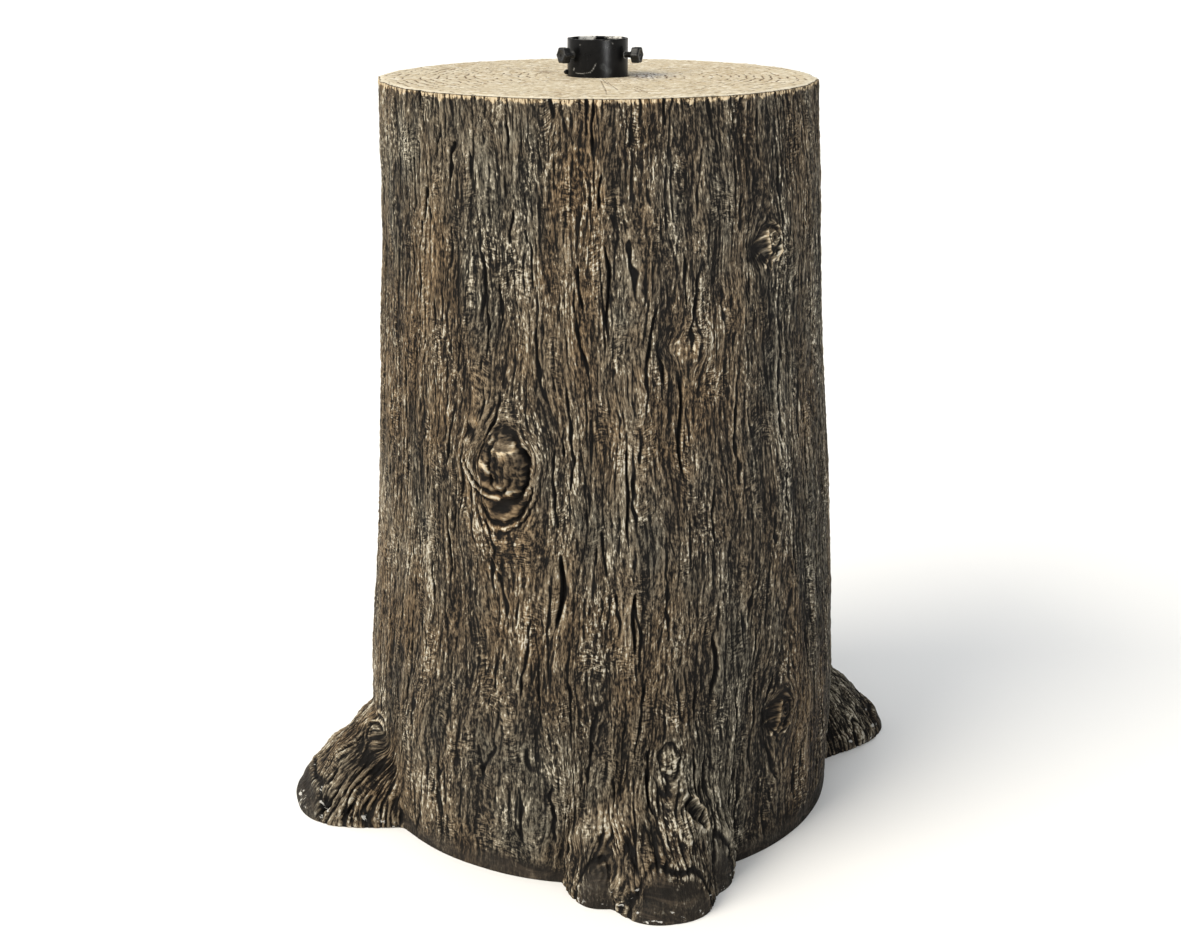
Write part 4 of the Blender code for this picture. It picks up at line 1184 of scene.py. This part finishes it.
# ------------------------------------------------------------------ foot cross and its screws
def zinc_material():
    m = Nodes("zinc_plated_bar")
    tc = m.new("ShaderNodeTexCoord").outputs["Object"]
    a_ = m.noise(tc, 28.0, 5.0, 0.6)
    b_ = m.noise(m.scaled(tc, (1, 1, 6)), 300.0, 4.0, 0.6)
    spang = m.noise(tc, 120.0, 1.0, 0.4)
    col = m.mix(m.range(a_, 0.3, 0.7), (0.36, 0.36, 0.355), (0.52, 0.52, 0.51))
    col = m.mix(m.range(spang, 0.45, 0.60, 0.0, 0.35), col, (0.60, 0.60, 0.60))
    col = m.mix(m.range(b_, 0.62, 0.74, 0.0, 0.5), col, (0.17, 0.115, 0.075))
    nrm = m.bump(m.math('ADD', a_, m.math('MULTIPLY', b_, 0.3)), 0.25, 0.0008)
    return m.out(col, m.range(spang, 0.3, 0.7, 0.34, 0.55), nrm, 0.9)


ZINC = zinc_material()
for node in ("foot_cross", "foot_bolt_1", "foot_bolt_2", "foot_bolt_3", "foot_bolt_4"):
    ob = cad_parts[node]
    ob.data.materials.clear()
    ob.data.materials.append(ZINC)

# ------------------------------------------------------------------ floor, light, camera
floor_mesh = bpy.data.meshes.new("floor")
bm = bmesh.new()
bmesh.ops.create_circle(bm, cap_ends=True, radius=30.0, segments=96)
bm.to_mesh(floor_mesh)
bm.free()
floor = bpy.data.objects.new("floor", floor_mesh)
bpy.context.scene.collection.objects.link(floor)
fm = Nodes("floor_white")
fm.out((0.93, 0.93, 0.925), 0.6)
fm.p.inputs["Specular IOR Level"].default_value = 0.1
floor_mesh.materials.append(fm.mat)
floor.location = (0, 0, -0.0004)

world = bpy.data.worlds.new("studio")
bpy.context.scene.world = world
world.use_nodes = True
bg = world.node_tree.nodes["Background"]
wt = world.node_tree
coord = wt.nodes.new("ShaderNodeTexCoord")
dot = wt.nodes.new("ShaderNodeVectorMath")
dot.operation = 'DOT_PRODUCT'
wt.links.new(coord.outputs["Generated"], dot.inputs[0])
dot.inputs[1].default_value = Vector((-0.86, -0.50, 0.12)).normalized()
span = wt.nodes.new("ShaderNodeMapRange")
wt.links.new(dot.outputs["Value"], span.inputs["Value"])
span.inputs["From Min"].default_value = -0.75
span.inputs["From Max"].default_value = 0.90
span.inputs["To Min"].default_value = 0.06
span.inputs["To Max"].default_value = 1.02
# a pale band along the horizon all round, so the backdrop stays light
apart = wt.nodes.new("ShaderNodeSeparateXYZ")
wt.links.new(coord.outputs["Generated"], apart.inputs[0])
band = wt.nodes.new("ShaderNodeMapRange")
wt.links.new(apart.outputs["Z"], band.inputs["Value"])
band.inputs["From Min"].default_value = 0.07
band.inputs["From Max"].default_value = 0.22
band.inputs["To Min"].default_value = 0.86
band.inputs["To Max"].default_value = 0.0
most = wt.nodes.new("ShaderNodeMath")
most.operation = 'MAXIMUM'
wt.links.new(span.outputs["Result"], most.inputs[0])
wt.links.new(band.outputs["Result"], most.inputs[1])
wt.links.new(most.outputs[0], bg.inputs["Strength"])
bg.inputs["Color"].default_value = (0.985, 0.995, 1.0, 1.0)


def sun(name, direction, strength, angle, color=(1, 1, 1)):
    li = bpy.data.lights.new(name, 'SUN')
    li.energy = strength
    li.angle = math.radians(angle)
    li.color = color
    ob = bpy.data.objects.new(name, li)
    bpy.context.scene.collection.objects.link(ob)
    ob.rotation_euler = Vector(direction).to_track_quat('Z', 'Y').to_euler()
    ob.location = Vector(direction).normalized() * 4.0
    return ob


sun("key", (-1.0, -0.62, 0.80), 3.15, 44.0, (1.0, 0.925, 0.800))
sun("top", (0.0, 0.25, 1.0), 0.95, 60.0, (0.97, 0.99, 1.0))


def strip(name, loc, target, width, height, energy, spread):
    li = bpy.data.lights.new(name, 'AREA')
    li.shape = 'RECTANGLE'
    li.size = width
    li.size_y = height
    li.energy = energy
    li.spread = math.radians(spread)
    ob = bpy.data.objects.new(name, li)
    bpy.context.scene.collection.objects.link(ob)
    ob.location = loc
    ob.rotation_euler = (Vector(target) - Vector(loc)).to_track_quat('-Z', 'Y').to_euler()
    return ob


# a narrow soft box, front right, for the line of light down the collar
strip("strip", (1.24, -1.84, 0.70), (0, 0, 0.64), 0.16, 0.9, 0.75, 22.0)

cam_data = bpy.data.cameras.new("camera")
cam = bpy.data.objects.new("camera", cam_data)
bpy.context.scene.collection.objects.link(cam)
cam.location = (-0.0060, -1.4187, 0.7723)
cam.rotation_euler = (math.radians(90.0 - 18.62), 0.0, 0.0)
cam_data.sensor_width = 36.0
cam_data.lens = 1644.7 / 1181.0 * 36.0
cam_data.clip_start = 0.05
cam_data.clip_end = 100.0
bpy.context.scene.camera = cam
bpy.context.scene.view_settings.view_transform = 'Standard'
bpy.context.scene.view_settings.look = 'None'
bpy.context.scene.view_settings.exposure = 0.0
bpy.context.scene.view_settings.gamma = 1.0
